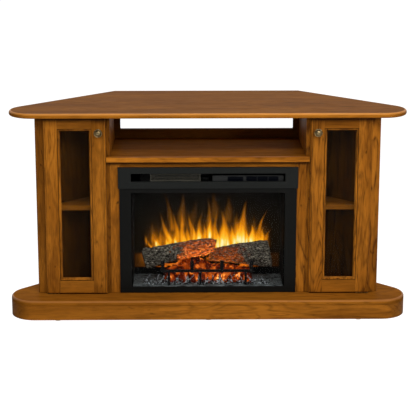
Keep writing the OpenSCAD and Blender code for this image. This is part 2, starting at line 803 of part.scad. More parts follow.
// A box round the wheel, open at the front, with an air opening behind
module blower_housing() {
    t = 1.2;
    z0 = ceiling_z + sheet;
    w = duct_x1 - duct_x0;
    h = shell_z1 - sheet - z0;
    depth = 145;
    color("#26292a") at_face() {
        difference() {
            translate([duct_x0, 20, z0]) cube([w, depth, h]);
            translate([duct_x0 + t, 19, z0 + t]) cube([w - 2 * t, depth, h - 2 * t]);
            translate([duct_x0 + 12, 20 + depth - 5, z0 + 12]) cube([w - 24, 10, h - 24]);
            translate([duct_x0 - 1, blower_y, blower_z]) rotate([0, 90, 0])
                cylinder(h = w + 2, r = rod_r + pin_play);
        }
        // rounded end cap beside the outlet
        translate([duct_x0 - 19, 20, blower_z]) rotate([-90, 0, 0]) cylinder(h = 60, r = 20);
    }
}

module blower_wheel() {
    w = wheel_x1 - wheel_x0;
    color("#6f7477") at_face() translate([wheel_x0, blower_y, blower_z]) rotate([0, 90, 0]) {
        translate([0, 0, -12]) cylinder(h = w + 30, r = rod_r);
        for (z = [0, w / 2, w - 1.5]) translate([0, 0, z]) cylinder(h = 1.5, r = wheel_r);
        for (i = [0:blade_count - 1]) rotate([0, 0, i * 360 / blade_count])
            translate([wheel_r - 7, -0.5, 0]) rotate([0, 0, 25]) cube([6, 1, w]);
    }
}

module blower_motor() {
    color("#8b8f92") at_face() difference() {
        union() {
            translate([duct_x1 + 1, blower_y, blower_z]) rotate([0, 90, 0]) cylinder(h = 38, r = 22);
            translate([duct_x1 + 8, blower_y - 12, ceiling_z + sheet]) cube([24, 24, 14]);
        }
        translate([duct_x1, blower_y, blower_z]) rotate([0, 90, 0]) cylinder(h = 8, r = rod_r + pin_play);
    }
}

// Heating rods across the outlet, joined at their ends
module heater_element() {
    rods = 4;
    rod_step = 12;
    first_z = 500;
    color("#b08a4a") at_face() {
        for (i = [0:rods - 1]) translate([duct_x0 + 8, 48, first_z + i * rod_step])
            rotate([0, 90, 0]) cylinder(h = duct_x1 - duct_x0 - 16, r = 2);
        for (x = [duct_x0 + 6, duct_x1 - 8]) translate([x, 45, 496]) cube([2, 6, 44]);
        for (x = [duct_x0 + 1.2, duct_x1 - 6.2]) translate([x, 47, 515]) cube([5, 2, 6]);
    }
}

module outlet_grille() {
    w = duct_x1 - duct_x0;
    z0 = slot_z0 - 5;
    h = slot_z1 - slot_z0 + 8;
    bars = 30;
    color("#7c6a3c") at_face() {
        difference() {
            translate([duct_x0, 17, z0]) cube([w, 3, h]);
            translate([duct_x0 + 3, 16, z0 + 3]) cube([w - 6, 5, h - 6]);
        }
        for (i = [1:bars]) translate([duct_x0 + 3 + (w - 6) * i / (bars + 1) - 0.6, 17.5, z0 + 2])
            cube([1.2, 1, h - 4]);
        for (i = [1:5]) translate([duct_x0 + 2, 18.2, z0 + 3 + (h - 6) * i / 6 - 0.6])
            cube([w - 4, 1, 1.2]);
    }
}

// ---- Controls ------------------------------------------------------------------

module control_plate() {
    t = 2;
    z0 = slot_z0 - 10;
    h = plate_h;
    color("#222526") at_face() difference() {
        union() {
            translate([plate_x0, plate_y, z0]) cube([plate_x1 - plate_x0, t, h]);
            for (x = [plate_x0 + 4, plate_x1 - 24]) translate([x, plate_y, ceiling_z + sheet])
                cube([20, t, z0 - ceiling_z - sheet + 1]);
        }
        translate([display_x[0], plate_y - 1, button_z - button_h / 2])
            cube([display_x[1] - display_x[0], t + 2, button_h]);
        for (x = button_x) translate([x - button_w / 2 - button_slack, plate_y - 1,
            button_z - button_h / 2 - button_slack])
            cube([button_w + 2 * button_slack, t + 2, button_h + 2 * button_slack]);
    }
}

module display_window() {
    color("#0c1018") at_face() translate([display_x[0], plate_y + 0.5, button_z - button_h / 2])
        cube([display_x[1] - display_x[0], 3, button_h]);
}

// A button with a flange behind the plate, so it can't fall out
module button(i) {
    color("#101317") at_face() {
        translate([button_x[i] - button_w / 2, button_y, button_z - button_h / 2])
            cube([button_w, 7, button_h]);
        translate([button_x[i] - button_w / 2 - 1, plate_y + 2.1, button_z - button_h / 2 - 1])
            cube([button_w + 2, 1.9, button_h + 2]);
    }
}

module button_power() { button(0); }
module button_flame() { button(1); }
module button_heat() { button(2); }

module control_board() {
    color("#2f6b3f") at_face() {
        translate([plate_x0 + 4, 16, slot_z0 - 8]) cube([plate_x1 - plate_x0 - 8, 1.6, plate_h - 5]);
        for (x = button_x) translate([x - 3, 13.6, button_z - 3]) cube([6, 2.4, 6]);
        for (x = [plate_x0 + 8, plate_x1 - 12]) translate([x, plate_y + 2, slot_z0 + 12])
            cube([4, 6, 4]);
    }
}

module left_door_stiles() { door_stiles(-1); }
module left_door_rails() { door_rails(-1); }
module left_door_bead() { door_bead(-1); }
module left_door_glass() { door_glass(-1); }
module left_door_knob() { door_knob(-1); }
module left_door_fittings() { door_fittings(-1); }
module right_door_stiles() { door_stiles(1); }
module right_door_rails() { door_rails(1); }
module right_door_bead() { door_bead(1); }
module right_door_glass() { door_glass(1); }
module right_door_knob() { door_knob(1); }
module right_door_fittings() { door_fittings(1); }

top_board();
base_deck();
plinth_front();
plinth_sides();
plinth_tips();
plinth_back();
floor_glides();
side_panels();
partitions();
face_stiles();
fire_stiles();
face_rails();
centre_shelf();
shelf_nosing();
back_frame();
rear_vent_panel();
cabinet_shelves();
shelf_pins();
hinge_frame_leaves();
magnetic_catches();
left_door_stiles();
left_door_rails();
left_door_bead();
left_door_glass();
left_door_knob();
left_door_fittings();
right_door_stiles();
right_door_rails();
right_door_bead();
right_door_glass();
right_door_knob();
right_door_fittings();
firebox_shell();
firebox_rear_cover();
trim_frame();
fascia_bar();
front_glass();
flame_screen();
log_left();
log_right();
grate();
ember_bed();
ash_mat();
charcoal_row();
lamp_boards();
flicker_rod();
flicker_motor();
rod_bush();
blower_housing();
blower_wheel();
blower_motor();
heater_element();
outlet_grille();
control_plate();
display_window();
button_power();
button_flame();
button_heat();
control_board();
firebox_screws();
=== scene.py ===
import json
import math
import bmesh
import bpy
import numpy as np
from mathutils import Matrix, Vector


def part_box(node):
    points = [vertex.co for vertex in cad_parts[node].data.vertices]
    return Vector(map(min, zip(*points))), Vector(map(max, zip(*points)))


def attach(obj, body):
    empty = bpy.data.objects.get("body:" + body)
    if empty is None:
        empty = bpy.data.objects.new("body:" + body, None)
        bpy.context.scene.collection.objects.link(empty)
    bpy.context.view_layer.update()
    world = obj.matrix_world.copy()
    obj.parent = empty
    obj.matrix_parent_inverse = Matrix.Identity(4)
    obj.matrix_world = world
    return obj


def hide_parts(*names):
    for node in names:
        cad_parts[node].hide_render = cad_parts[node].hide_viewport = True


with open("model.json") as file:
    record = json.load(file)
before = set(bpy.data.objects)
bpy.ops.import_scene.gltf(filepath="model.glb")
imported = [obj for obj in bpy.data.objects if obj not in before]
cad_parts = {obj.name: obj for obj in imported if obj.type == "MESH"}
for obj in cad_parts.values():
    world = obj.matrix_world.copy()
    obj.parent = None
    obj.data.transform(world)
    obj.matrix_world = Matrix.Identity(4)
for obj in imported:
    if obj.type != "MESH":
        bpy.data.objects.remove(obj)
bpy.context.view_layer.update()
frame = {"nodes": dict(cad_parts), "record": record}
nodes = frame["nodes"]
slotOf = {part["node"]: part["material_slot"] for part in frame["record"]["subparts"]}
bodyOf = {name: body for body, names in frame["record"]["behaviour"]["bodies"].items() for name in names}
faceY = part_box("face_stiles")[0].y  # the front plane of the cabinet's body
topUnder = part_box("top_board")[0].z  # the underside of the top board
print("frame loaded:", len(nodes), "pieces, front plane at", round(faceY, 4))


def addObject(name, data):
    made = bpy.data.objects.new(name, data)
    bpy.context.scene.collection.objects.link(made)
    return made


def meshPiece(name, points, faces, smooth=True):
    mesh = bpy.data.meshes.new(name)
    mesh.from_pydata(np.asarray(points, float).reshape(-1, 3), [], faces)
    mesh.polygons.foreach_set("use_smooth", [smooth] * len(mesh.polygons))
    mesh.validate()
    return addObject(name, mesh)


# shader nodes: most of these add one node and give back its output

def feed(tree, socket, value):
    # a socket takes another node's output, or a number, a colour or a vector
    if isinstance(value, bpy.types.NodeSocket):
        tree.links.new(value, socket)
    elif isinstance(value, tuple) and len(socket.default_value) == len(value) + 1:
        socket.default_value = (*value, 1)
    else:
        socket.default_value = value


def newNode(tree, kind, **sockets):
    node = tree.nodes.new("ShaderNode" + kind)
    for socket, value in sockets.items():
        feed(tree, node.inputs[socket.replace("_", " ")], value)
    return node


def orderedNode(tree, kind, values, **options):
    # as newNode, with the inputs in their own order
    node = tree.nodes.new("ShaderNode" + kind)
    for option, value in options.items():
        setattr(node, option, value)
    for socket, value in zip(node.inputs, values):
        feed(tree, socket, value)
    return node.outputs[0]


def mathNode(tree, operation, *values):
    return orderedNode(tree, "Math", values, operation=operation)


def vectorNode(tree, operation, *values):
    return orderedNode(tree, "VectorMath", values, operation=operation)


def spreadNode(tree, value, low, high, toLow=0.0, toHigh=1.0, way="LINEAR"):
    return orderedNode(tree, "MapRange", (value, low, high, toLow, toHigh), interpolation_type=way)


def mixShaders(tree, factor, a, b):
    return orderedNode(tree, "MixShader", (factor, a, b))


def mixColour(tree, factor, a, b):
    node = tree.nodes.new("ShaderNodeMix")
    node.data_type = "RGBA"
    for socket, value in ((node.inputs["Factor"], factor), (node.inputs[6], a), (node.inputs[7], b)):
        feed(tree, socket, value)
    return node.outputs[2]


def noiseNode(tree, vector, scale, detail=2.0, rough=0.5, distortion=0.0):
    node = newNode(tree, "TexNoise", Vector=vector, Scale=scale, Detail=detail, Roughness=rough,
                   Distortion=distortion)
    return node.outputs["Fac"]


def heldNode(tree, attribute, output="Fac"):
    node = tree.nodes.new("ShaderNodeAttribute")
    node.attribute_name = attribute
    return node.outputs[output]


def placeNode(tree, stretch=(1, 1, 1)):
    place = newNode(tree, "TexCoord").outputs["Object"]
    return newNode(tree, "Mapping", Vector=place, Scale=stretch).outputs[0]


def bumpNode(tree, shader, height, distance, strength=1.0):
    bump = newNode(tree, "Bump", Height=height, Distance=distance, Strength=strength)
    tree.links.new(bump.outputs[0], shader.inputs["Normal"])


# the camera, the lamps, the studio and the floor

cameraSettings = {
    "place": (-0.079, -4.861, 1.661),
    "lookDown": 12.228,  # degrees
    "turn": -0.734,
    "focal": 112.5,  # mm
    "sensor": 36,
    "shift": (0.012, -0.149),
    "farthest": 40,
}


def placeCamera(settings):
    data = bpy.data.cameras.new("camera")
    data.lens = settings["focal"]
    data.sensor_width = settings["sensor"]
    data.shift_x, data.shift_y = settings["shift"]
    data.clip_end = settings["farthest"]
    camera = addObject("camera", data)
    camera.location = settings["place"]
    camera.rotation_euler = (math.radians(90 - settings["lookDown"]), 0, math.radians(settings["turn"]))
    bpy.context.scene.camera = camera


middle = (0, 0, 0.4)
lampSettings = {
    # name: place, what it is aimed at, size, watts, colour
    "leftSoftbox": ((-2.7, -2.8, 2.0), middle, (1.4, 1.6), 11, (1.0, 0.98, 0.95)),
    "rightSoftbox": ((2.8, -2.8, 2.0), middle, (1.4, 1.6), 60, (1.0, 0.98, 0.95)),
    "frontSoftbox": ((0.3, -3.5, 3.1), middle, (2.2, 1.4), 84, (1.0, 0.98, 0.96)),
    "overhead": ((0.0, -0.2, 3.4), middle, (2.6, 2.0), 24, (1.0, 0.99, 0.97)),
    "rearFill": ((0.0, 3.0, 3.2), middle, (2.8, 1.6), 26, (1.0, 1.0, 1.0)),
    "fireboxLamp": ((0, faceY + 0.012, 0.45), (0, faceY + 0.045, 0.12), (0.44, 0.02), 0.22,
                    (1.0, 0.86, 0.68)),
}


def hangLamps(settings):
    for name, (place, aim, size, watts, colour) in settings.items():
        data = bpy.data.lights.new(name, "AREA")
        data.shape = "RECTANGLE"
        data.size, data.size_y = size
        data.energy = watts
        data.color = colour
        lamp = addObject(name, data)
        lamp.location = place
        east, north, up = np.array(aim, float) - np.array(place, float)
        rise = math.atan2(up, math.hypot(east, north))
        lamp.rotation_euler = (math.pi / 2 + rise, 0, math.atan2(north, east) - math.pi / 2)


studioSettings = {
    "soft": (1.0, 0.99, 0.98),
    "softStrength": 0.28,
    "shineFrom": -0.25,  # how far to the front the shine is dimmest, and how far to the back it is white
    "shineTo": 0.45,
    "shineDimmest": 0.10,
}


def fillWorld(settings):
    # camera rays see white; shine sees the white backdrop behind and a dim studio in front
    world = bpy.data.worlds.new("studio")
    bpy.context.scene.world = world
    world.use_nodes = True
    tree = world.node_tree
    tree.nodes.clear()
    rays = newNode(tree, "LightPath").outputs
    way = newNode(tree, "SeparateXYZ", Vector=newNode(tree, "TexCoord").outputs["Generated"])
    grey = spreadNode(tree, way.outputs["Y"], settings["shineFrom"], settings["shineTo"],
                      settings["shineDimmest"], 1.0, "SMOOTHSTEP")
    soft = newNode(tree, "Background", Color=settings["soft"], Strength=settings["softStrength"])
    shine = newNode(tree, "Background", Color=grey)
    white = newNode(tree, "Background", Color=(1.0, 1.0, 1.0))
    seen = mathNode(tree, "MAXIMUM", rays["Is Camera Ray"], rays["Is Transmission Ray"])
    lit = mixShaders(tree, rays["Is Glossy Ray"], soft.outputs[0], shine.outputs[0])
    newNode(tree, "OutputWorld", Surface=mixShaders(tree, seen, lit, white.outputs[0]))


floorSettings = {
    "half": 14.0,
    "colour": (0.82, 0.82, 0.81),
    "glow": 1.32,  # with the matt quarter, lit floor shows white and shade shows
    "glowShare": 0.75,
}


def layFloor(settings):
    # a pale floor that shows nearly white and still takes the object's shadow
    half = settings["half"]
    corners = [(-half, -half, 0), (half, -half, 0), (half, half, 0), (-half, half, 0)]
    floor = meshPiece("floor", corners, [(0, 1, 2, 3)], smooth=False)
    material = bpy.data.materials.new("paleFloor")
    material.use_nodes = True
    tree = material.node_tree
    tree.nodes.clear()
    matt = newNode(tree, "BsdfDiffuse", Color=settings["colour"])
    glow = newNode(tree, "Emission", Color=(1.0, 1.0, 1.0), Strength=settings["glow"])
    rays = newNode(tree, "LightPath").outputs
    share = mathNode(tree, "MULTIPLY", rays["Is Camera Ray"], settings["glowShare"])
    newNode(tree, "OutputMaterial", Surface=mixShaders(tree, share, matt.outputs[0], glow.outputs[0]))
    floor.data.materials.append(material)


placeCamera(cameraSettings)
hangLamps(lampSettings)
fillWorld(studioSettings)
layFloor(floorSettings)
bpy.context.scene.view_settings.view_transform = "Standard"
print("stage set: camera,", len(lampSettings), "lamps, floor")


# steps and noise on arrays

def smoothStep(low, high, value):
    # 3t^2 - 2t^3, where t runs from 0 at low to 1 at high
    t = np.clip((value - low) / (high - low), 0, 1)
    return t * t * (3 - 2 * t)


def latticeNoise(points, seed):
    # values from 0 to 1 on whole-number lattice points, blended by 3t^2 - 2t^3 along each axis
    cell = np.floor(points).astype(np.int64)
    part = points - cell
    part = part * part * (3 - 2 * part)
    total = np.zeros(points.shape[:-1])
    for dx in (0, 1):
        for dy in (0, 1):
            for dz in (0, 1):
                key = (cell[..., 0] + dx) * 73856093 ^ (cell[..., 1] + dy) * 19349663
                key = key ^ (cell[..., 2] + dz) * 83492791 ^ (seed * 7919 + 101)
                key = (key ^ (key >> 13)) * 1274126177
                value = ((key ^ (key >> 16)) & 0xFFFF) / 65535.0
                weight = (part[..., 0] if dx else 1 - part[..., 0])
                weight = weight * (part[..., 1] if dy else 1 - part[..., 1])
                total += value * weight * (part[..., 2] if dz else 1 - part[..., 2])
    return total


def fractalNoise(points, seed, octaves=4):
    # the sum of lattice noise at doubling pitch and halving height, brought back to 0 to 1
    total, height, whole = 0, 1.0, 0
    for k in range(octaves):
        total = total + height * latticeNoise(points * 2.0 ** k, seed + k)
        whole += height
        height *= 0.5
    return total / whole


def flatNoise(x, y, seed, octaves=0):
    # noise over a plane, as one octave of the lattice or as a sum of several
    points = np.stack([x, y, x * 0], -1)
    return fractalNoise(points, seed, octaves) if octaves else latticeNoise(points, seed)


# faces, points and the values that points hold

def gridFaces(rows, columns, closeRows=False, closeColumns=False, start=0):
    # each cell of a rows by columns grid of points is one four-sided face
    i = np.arange(rows if closeRows else rows - 1)
    j = np.arange(columns if closeColumns else columns - 1)
    i, j = (a.ravel() for a in np.meshgrid(i, j, indexing="ij"))
    i2, j2 = (i + 1) % rows, (j + 1) % columns
    quads = np.stack([i * columns + j, i * columns + j2, i2 * columns + j2, i2 * columns + j], 1)
    return (quads + start).tolist()


def tubeFaces(rows, columns, start=0):
    # a tube of closed rings, with its two ends closed by flat many-sided faces
    ends = [list(range(start, start + columns))[::-1],
            list(range(start + (rows - 1) * columns, start + rows * columns))]
    return gridFaces(rows, columns, closeColumns=True, start=start) + ends


def outward(piece):
    # turns every face of a closed piece to point out of it
    work = bmesh.new()
    work.from_mesh(piece.data)
    bmesh.ops.remove_doubles(work, verts=work.verts, dist=1e-6)
    bmesh.ops.recalc_face_normals(work, faces=work.faces)
    work.to_mesh(piece.data)
    work.free()


def pointsOf(mesh):
    place = np.zeros(len(mesh.vertices) * 3)
    mesh.vertices.foreach_get("co", place)
    return place.reshape(-1, 3)


def holdValues(mesh, name, kind, values):
    # values is one number, or one row of numbers, for each point
    field = {"FLOAT": "value", "FLOAT_VECTOR": "vector", "FLOAT_COLOR": "color"}[kind]
    mesh.attributes.new(name, kind, "POINT").data.foreach_set(field, values.astype(np.float32).ravel())


def holdColour(piece, colours):
    # colours is one row of red, green and blue, in linear light, for each point
    holdValues(piece.data, "glow", "FLOAT_COLOR", np.concatenate([colours, np.ones((len(colours), 1))], 1))


def standIn(piece, name, material):
    # the piece takes the named part's place and body, with the given finish
    piece.data.materials.clear()
    piece.data.materials.append(material)
    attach(piece, bodyOf[name])
    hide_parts(name)
    return piece


# boards cut from the parts' own solids

stainAndShadeSettings = {
    "boards": [
        # node, from x, to x, share of black
        ("face_stiles", -0.66, -0.57, 0.30),
        ("left_door_rails", -0.66, -0.30, 0.06),
        ("left_door_stiles", -0.46, -0.30, 0.16),
        # the next two are painted shade on the stiles beside the doors' inner edges
        ("face_stiles", -0.41, -0.35, 0.38),
        ("face_stiles", 0.35, 0.41, 0.08),
    ],
    "inside": 0.5,  # painted shade on the faces inside the cabinets
    "shelfBack": 1.1,  # painted shade at the back of the cabinets' shelves, none at their fronts
    "panelSkin": 0.013,  # how much of a side panel's thickness, along x, keeps the outer colour
    "partitionSkin": 0.0095,
}


def stainAndShadeBoards(name, mesh, settings=stainAndShadeSettings):
    # the share of black is 0 but for the listed boards, the shelves and the faces that look into a cabinet:
    # behind the skin of a side panel, and within the skin of a partition. On the shelves, on those faces and
    # on the stiles beside the doors' inner edges the black is painted shade
    x, y = pointsOf(mesh)[:, :2].T
    low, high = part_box(name)
    stainAndShade = np.zeros(len(x))
    for board, fromX, toX, share in settings["boards"]:
        if board == name:
            stainAndShade[(x > fromX) & (x < toX)] = share
    if name == "cabinet_shelves":
        stainAndShade[:] = settings["shelfBack"] * (y - low.y) / (high.y - low.y)
    if name == "side_panels":
        stainAndShade[np.abs(x) + y < high.x + low.y - settings["panelSkin"]] = settings["inside"]
    if name == "partitions":
        stainAndShade[np.abs(x) > high.x - settings["partitionSkin"]] = settings["inside"]
    holdValues(mesh, "stainAndShade", "FLOAT", stainAndShade)


def shiftBoards(mesh, key):
    # every loose board of a mesh gets one shift of its grain: three sines of its number and the piece's key.
    # Boards are told apart by passing the lowest point number along the edges until nothing changes
    edges = np.zeros(len(mesh.edges) * 2, np.int64)
    mesh.edges.foreach_get("vertices", edges)
    a, b = edges[::2], edges[1::2]
    label = np.arange(len(mesh.vertices))
    while True:
        low = np.minimum(label[a], label[b])
        new = label.copy()
        np.minimum.at(new, a, low)
        np.minimum.at(new, b, low)
        new = new[new]
        if (new == label).all():
            break
        label = new
    board = np.unique(label, return_inverse=True)[1]
    turn = board * 2.39996 + key * 1.7
    shift = np.stack([np.sin(turn), np.sin(turn * 1.3 + 1), np.sin(turn * 0.7 + 2)], 1) * 3.0
    holdValues(mesh, "boardShift", "FLOAT_VECTOR", shift)


def easeEdges(piece, width, segments=3):
    bevel = piece.modifiers.new("easedEdges", "BEVEL")
    bevel.width = width
    bevel.segments = segments
    bevel.limit_method = "ANGLE"
    bevel.angle_limit = math.radians(32)
    bevel.harden_normals = False
    bevel.use_clamp_overlap = True


def easedCopy(name, material, width, key=0):
    # the part's own solid with its triangles merged into flat faces and its edges eased
    mesh = nodes[name].data.copy()
    mesh.name = name + "Eased"
    work = bmesh.new()
    work.from_mesh(mesh)
    bmesh.ops.remove_doubles(work, verts=work.verts, dist=2e-5)
    bmesh.ops.dissolve_limit(work, angle_limit=math.radians(1.0), verts=work.verts, edges=work.edges)
    work.to_mesh(mesh)
    work.free()
    mesh.polygons.foreach_set("use_smooth", [False] * len(mesh.polygons))
    piece = addObject(name + "Eased", mesh)
    shiftBoards(mesh, key)
    stainAndShadeBoards(name, mesh)
    easeEdges(piece, width)
    return standIn(piece, name, material)


# finishes

def startMaterial(name, **sockets):
    material = bpy.data.materials.new(name)
    material.use_nodes = True
    shader = material.node_tree.nodes["Principled BSDF"]
    for socket, value in sockets.items():
        shader.inputs[socket.replace("_", " ")].default_value = value
    return material, material.node_tree, shader


def srgb(red, green, blue):
    # an 8 bit screen colour as linear light
    value = np.array([red, green, blue]) / 255.0
    light = np.where(value <= 0.04045, value / 12.92, ((value + 0.055) / 1.055) ** 2.4)
    return tuple(float(v) for v in light)


woodSettings = {
    "pale": srgb(184, 115, 34),
    "worn": srgb(222, 150, 68),  # painted highlight on the polished edges of the top and the base
    "middle": srgb(146, 87, 21),
    "late": srgb(70, 35, 7),  # the dark line of each year's growth
    "fleck": srgb(44, 21, 5),
    "paintedShade": srgb(26, 12, 5),  # painted shade in the joints and under the overhangs, also on the cut ends
    "stainAndShadeBlack": (0.0, 0.0, 0.0),
    "contrast": 1.5,
    "along": 0.15,  # how slow the figure is along the grain
    "ringNoise": [17.0, 2.0, 0.4, 0.6],  # pitch per metre across the grain, detail, roughness and twist
    "ringCount": 9.0,
    "ringPower": 4.0,
    "ringBreaks": [0.36, 0.60, 0.45, 1.0],  # strokes from, to, and the share of a ring that is left at each
    "ringPatches": [3.1, 1.0],
    "ringPatchSpan": [0.42, 0.60],
    "ringShare": [0.18, 0.60],  # outside the patches and inside
    "blotches": [13.0, 3.0, 0.55],
    "blotchSpan": [0.36, 0.66],
    "highlightShare": 0.5,
    "endGrainShade": 0.46,  # how much darker a level board is where it is cut across: darker end grain, and painted shade on faces turned to the side
    "endGrainShadeSpan": [0.2, 0.9],  # how far a face turns to the side, where it starts and is full
    "shadeReach": 0.020,
    "shadeShare": 0.96,
    "shadeSpan": [0.06, 0.60],  # how open a place is where the painted shade is full and where it ends
    "shadeLift": 3.0,  # how strongly the look-out is bent upwards
    "doorEdgeShade": [],  # distance from the middle and strength of the painted shade lines beside the doors' upright edges
    "doorEdgeShadeWidth": 0.0024,
    "shadeUnderTop": 0.90,  # how dark the painted shadow is right below the top
    "shadeUnderTopSpan": [0.027, 0.009],  # below the top, where the painted shadow starts and is full
    "shine": 0.03,
    "polish": 0.12,  # shine of the polished edges
    "roughness": 0.42,
    "smoothed": 0.16,  # how much of the roughness the polish takes
    "poreDepth": 0.00010,
}
woodMarks = {
    # how slow each is along the grain, its noise, where it starts and is full, its share and its colour
    "patches": {"along": 0.32, "noise": (36.0, 2.0, 0.5, 0.9), "span": (0.44, 0.68), "share": 0.24,
                "tint": "late"},
    "streaks": {"along": 0.05, "noise": (52.0, 2.0, 0.55), "span": (0.50, 0.74), "share": 0.24,
                "tint": "late"},
    "strokes": {"along": 0.08, "noise": (250.0, 2.0, 0.6, 0.2), "span": (0.48, 0.64), "share": 0.20,
                "tint": "late"},
    "specks": {"along": 0.4, "noise": (66.0, 1.0), "span": (0.72, 0.80), "share": 0.55, "tint": "fleck"},
}


def toned(settings, factor):
    # the same wood, lighter or darker: its colours are tuples and nothing else is
    return {key: tuple(v * factor for v in value) if isinstance(value, tuple) else value
            for key, value in settings.items()}


def woodMaterial(name, grain, settings):
    # rings are level lines of a noise drawn out along the grain, as a power of the noise's sine, and show in
    # patches; the marks are finer noises of that kind. Then come a painted highlight on the polished rims,
    # stains and painted shade held on the points, darker end grain with painted shade on faces turned to the
    # side, and painted shade where the half sphere about a normal bent upwards is closed in, under the top
    # and by the doors
    material, tree, shader = startMaterial(name)
    place = newNode(tree, "TexCoord").outputs["Object"]
    moved = vectorNode(tree, "ADD", place, heldNode(tree, "boardShift", "Vector"))

    def drawnOut(slow):
        scale = (slow, 1, 1) if grain == "x" else (1, 1, slow)
        return newNode(tree, "Mapping", Vector=moved, Scale=scale).outputs[0]

    def tinted(share, tint):
        return mixColour(tree, share, colour, settings[tint])

    contrast = settings["contrast"]
    figure = drawnOut(settings["along"])
    noises = {mark: noiseNode(tree, drawnOut(values["along"]), *values["noise"])
              for mark, values in woodMarks.items()}
    contour = noiseNode(tree, figure, *settings["ringNoise"])
    phase = mathNode(tree, "MULTIPLY", contour, settings["ringCount"] * 2 * math.pi)
    wave = mathNode(tree, "MULTIPLY_ADD", mathNode(tree, "SINE", phase), 0.5, 0.5)
    rings = mathNode(tree, "POWER", wave, settings["ringPower"])
    broken = mathNode(tree, "MULTIPLY", rings, spreadNode(tree, noises["strokes"], *settings["ringBreaks"]))
    patches = noiseNode(tree, figure, *settings["ringPatches"])
    shown = spreadNode(tree, patches, *settings["ringPatchSpan"],
                       *(share * contrast for share in settings["ringShare"]))
    even = 0.5 - 0.5 * min(contrast, 1)
    blotch = noiseNode(tree, figure, *settings["blotches"])
    blotch = spreadNode(tree, blotch, *settings["blotchSpan"], even, 1 - even)
    colour = mixColour(tree, blotch, settings["middle"], settings["pale"])
    colour = tinted(mathNode(tree, "MULTIPLY", broken, shown), "late")
    for mark, values in woodMarks.items():
        share = spreadNode(tree, noises[mark], *values["span"], 0.0, values["share"] * contrast)
        colour = tinted(share, values["tint"])

    rim = heldNode(tree, "rim")
    # a painted highlight on the polished rims
    colour = tinted(mathNode(tree, "MULTIPLY", rim, settings["highlightShare"]), "worn")
    # black held on the points: stains, and painted shade on the flat tops, the shelves, the cabinets'
    # insides and the stiles by the doors
    colour = tinted(heldNode(tree, "stainAndShade"), "stainAndShadeBlack")
    normal = newNode(tree, "NewGeometry").outputs["Normal"]
    # darker end grain, and painted shade on faces turned to the side
    if grain == "x":
        facing = mathNode(tree, "ABSOLUTE", newNode(tree, "SeparateXYZ", Vector=normal).outputs["X"])
        endGrainAndShade = spreadNode(tree, facing, *settings["endGrainShadeSpan"], 0.0, settings["endGrainShade"])
        colour = tinted(endGrainAndShade, "paintedShade")
    # painted shade where the half sphere about a normal bent upwards is closed in
    bent = vectorNode(tree, "NORMALIZE", vectorNode(tree, "ADD", normal, (0, 0, settings["shadeLift"])))
    closed = newNode(tree, "AmbientOcclusion", Distance=settings["shadeReach"], Normal=bent)
    closed.samples = 8
    closedInShade = spreadNode(tree, closed.outputs["AO"], *settings["shadeSpan"], settings["shadeShare"], 0.0)
    colour = tinted(closedInShade, "paintedShade")
    split = newNode(tree, "SeparateXYZ", Vector=place).outputs
    # painted shadow in a band right below the top board
    start, full = (topUnder - below for below in settings["shadeUnderTopSpan"])
    under = spreadNode(tree, split["Z"], start, full, 0.0, settings["shadeUnderTop"], "SMOOTHSTEP")
    colour = tinted(under, "paintedShade")
    # painted shade lines beside the doors' upright edges
    fromMiddle = mathNode(tree, "ABSOLUTE", split["X"])
    for line, share in settings["doorEdgeShade"]:
        away = mathNode(tree, "ABSOLUTE", mathNode(tree, "SUBTRACT", fromMiddle, line))
        colour = tinted(spreadNode(tree, away, 0.0, settings["doorEdgeShadeWidth"], share, 0.0), "paintedShade")
    feed(tree, shader.inputs["Base Color"], colour)

    feed(tree, shader.inputs["Specular IOR Level"],
         spreadNode(tree, rim, 0.0, 1.0, settings["shine"], settings["polish"]))
    rough = settings["roughness"]
    rough = spreadNode(tree, noises["strokes"], 0.3, 0.7, rough - 0.05, rough + 0.08)
    feed(tree, shader.inputs["Roughness"],
         mathNode(tree, "SUBTRACT", rough, mathNode(tree, "MULTIPLY", rim, settings["smoothed"])))
    bumpNode(tree, shader, noises["strokes"], settings["poreDepth"], 0.5)
    return material


def mottled(name, dark, light, pitch, rough=0.5, metal=0.0, bump=0.0, stretch=(1, 1, 1), shine=0.5,
            spread=(0.35, 0.65)):
    # a noise of the given pitch per metre runs between the two colours and roughens the surface
    material, tree, shader = startMaterial(name, Metallic=metal, Specular_IOR_Level=shine)
    grainy = noiseNode(tree, placeNode(tree, stretch), pitch, 4.0, 0.6)
    feed(tree, shader.inputs["Base Color"], mixColour(tree, spreadNode(tree, grainy, *spread), dark, light))
    feed(tree, shader.inputs["Roughness"], spreadNode(tree, grainy, 0.3, 0.7, rough - 0.06, rough + 0.06))
    if bump:
        bumpNode(tree, shader, grainy, bump)
    return material


def glassMaterial(name, tint, smoke, shine):
    # thin tinted sheet: mostly see-through, with faint smears in its shine
    material, tree, shader = startMaterial(name, IOR=1.45, Alpha=smoke, Specular_IOR_Level=shine)
    feed(tree, shader.inputs["Base Color"], tint)
    smear = noiseNode(tree, placeNode(tree), 9.0, 3.0)
    feed(tree, shader.inputs["Roughness"], spreadNode(tree, smear, 0.3, 0.7, 0.03, 0.09))
    return material


def glowMaterial(name, dark, light, pitch, strength, rough=0.85, bump=0.0008, shine=0.1):
    # a mottled surface that gives off the colour held on its own points
    material = mottled(name, dark, light, pitch, rough, bump=bump, shine=shine)
    shader = material.node_tree.nodes["Principled BSDF"]
    feed(material.node_tree, shader.inputs["Emission Color"], heldNode(material.node_tree, "glow", "Color"))
    shader.inputs["Emission Strength"].default_value = strength
    return material


barkSettings = {
    "dark": srgb(12, 11, 10),
    "grey": srgb(142, 136, 122),
    "pale": srgb(226, 220, 204),
    "charred": srgb(40, 20, 14),  # under the glow
    "fleckPitch": 190.0,
}


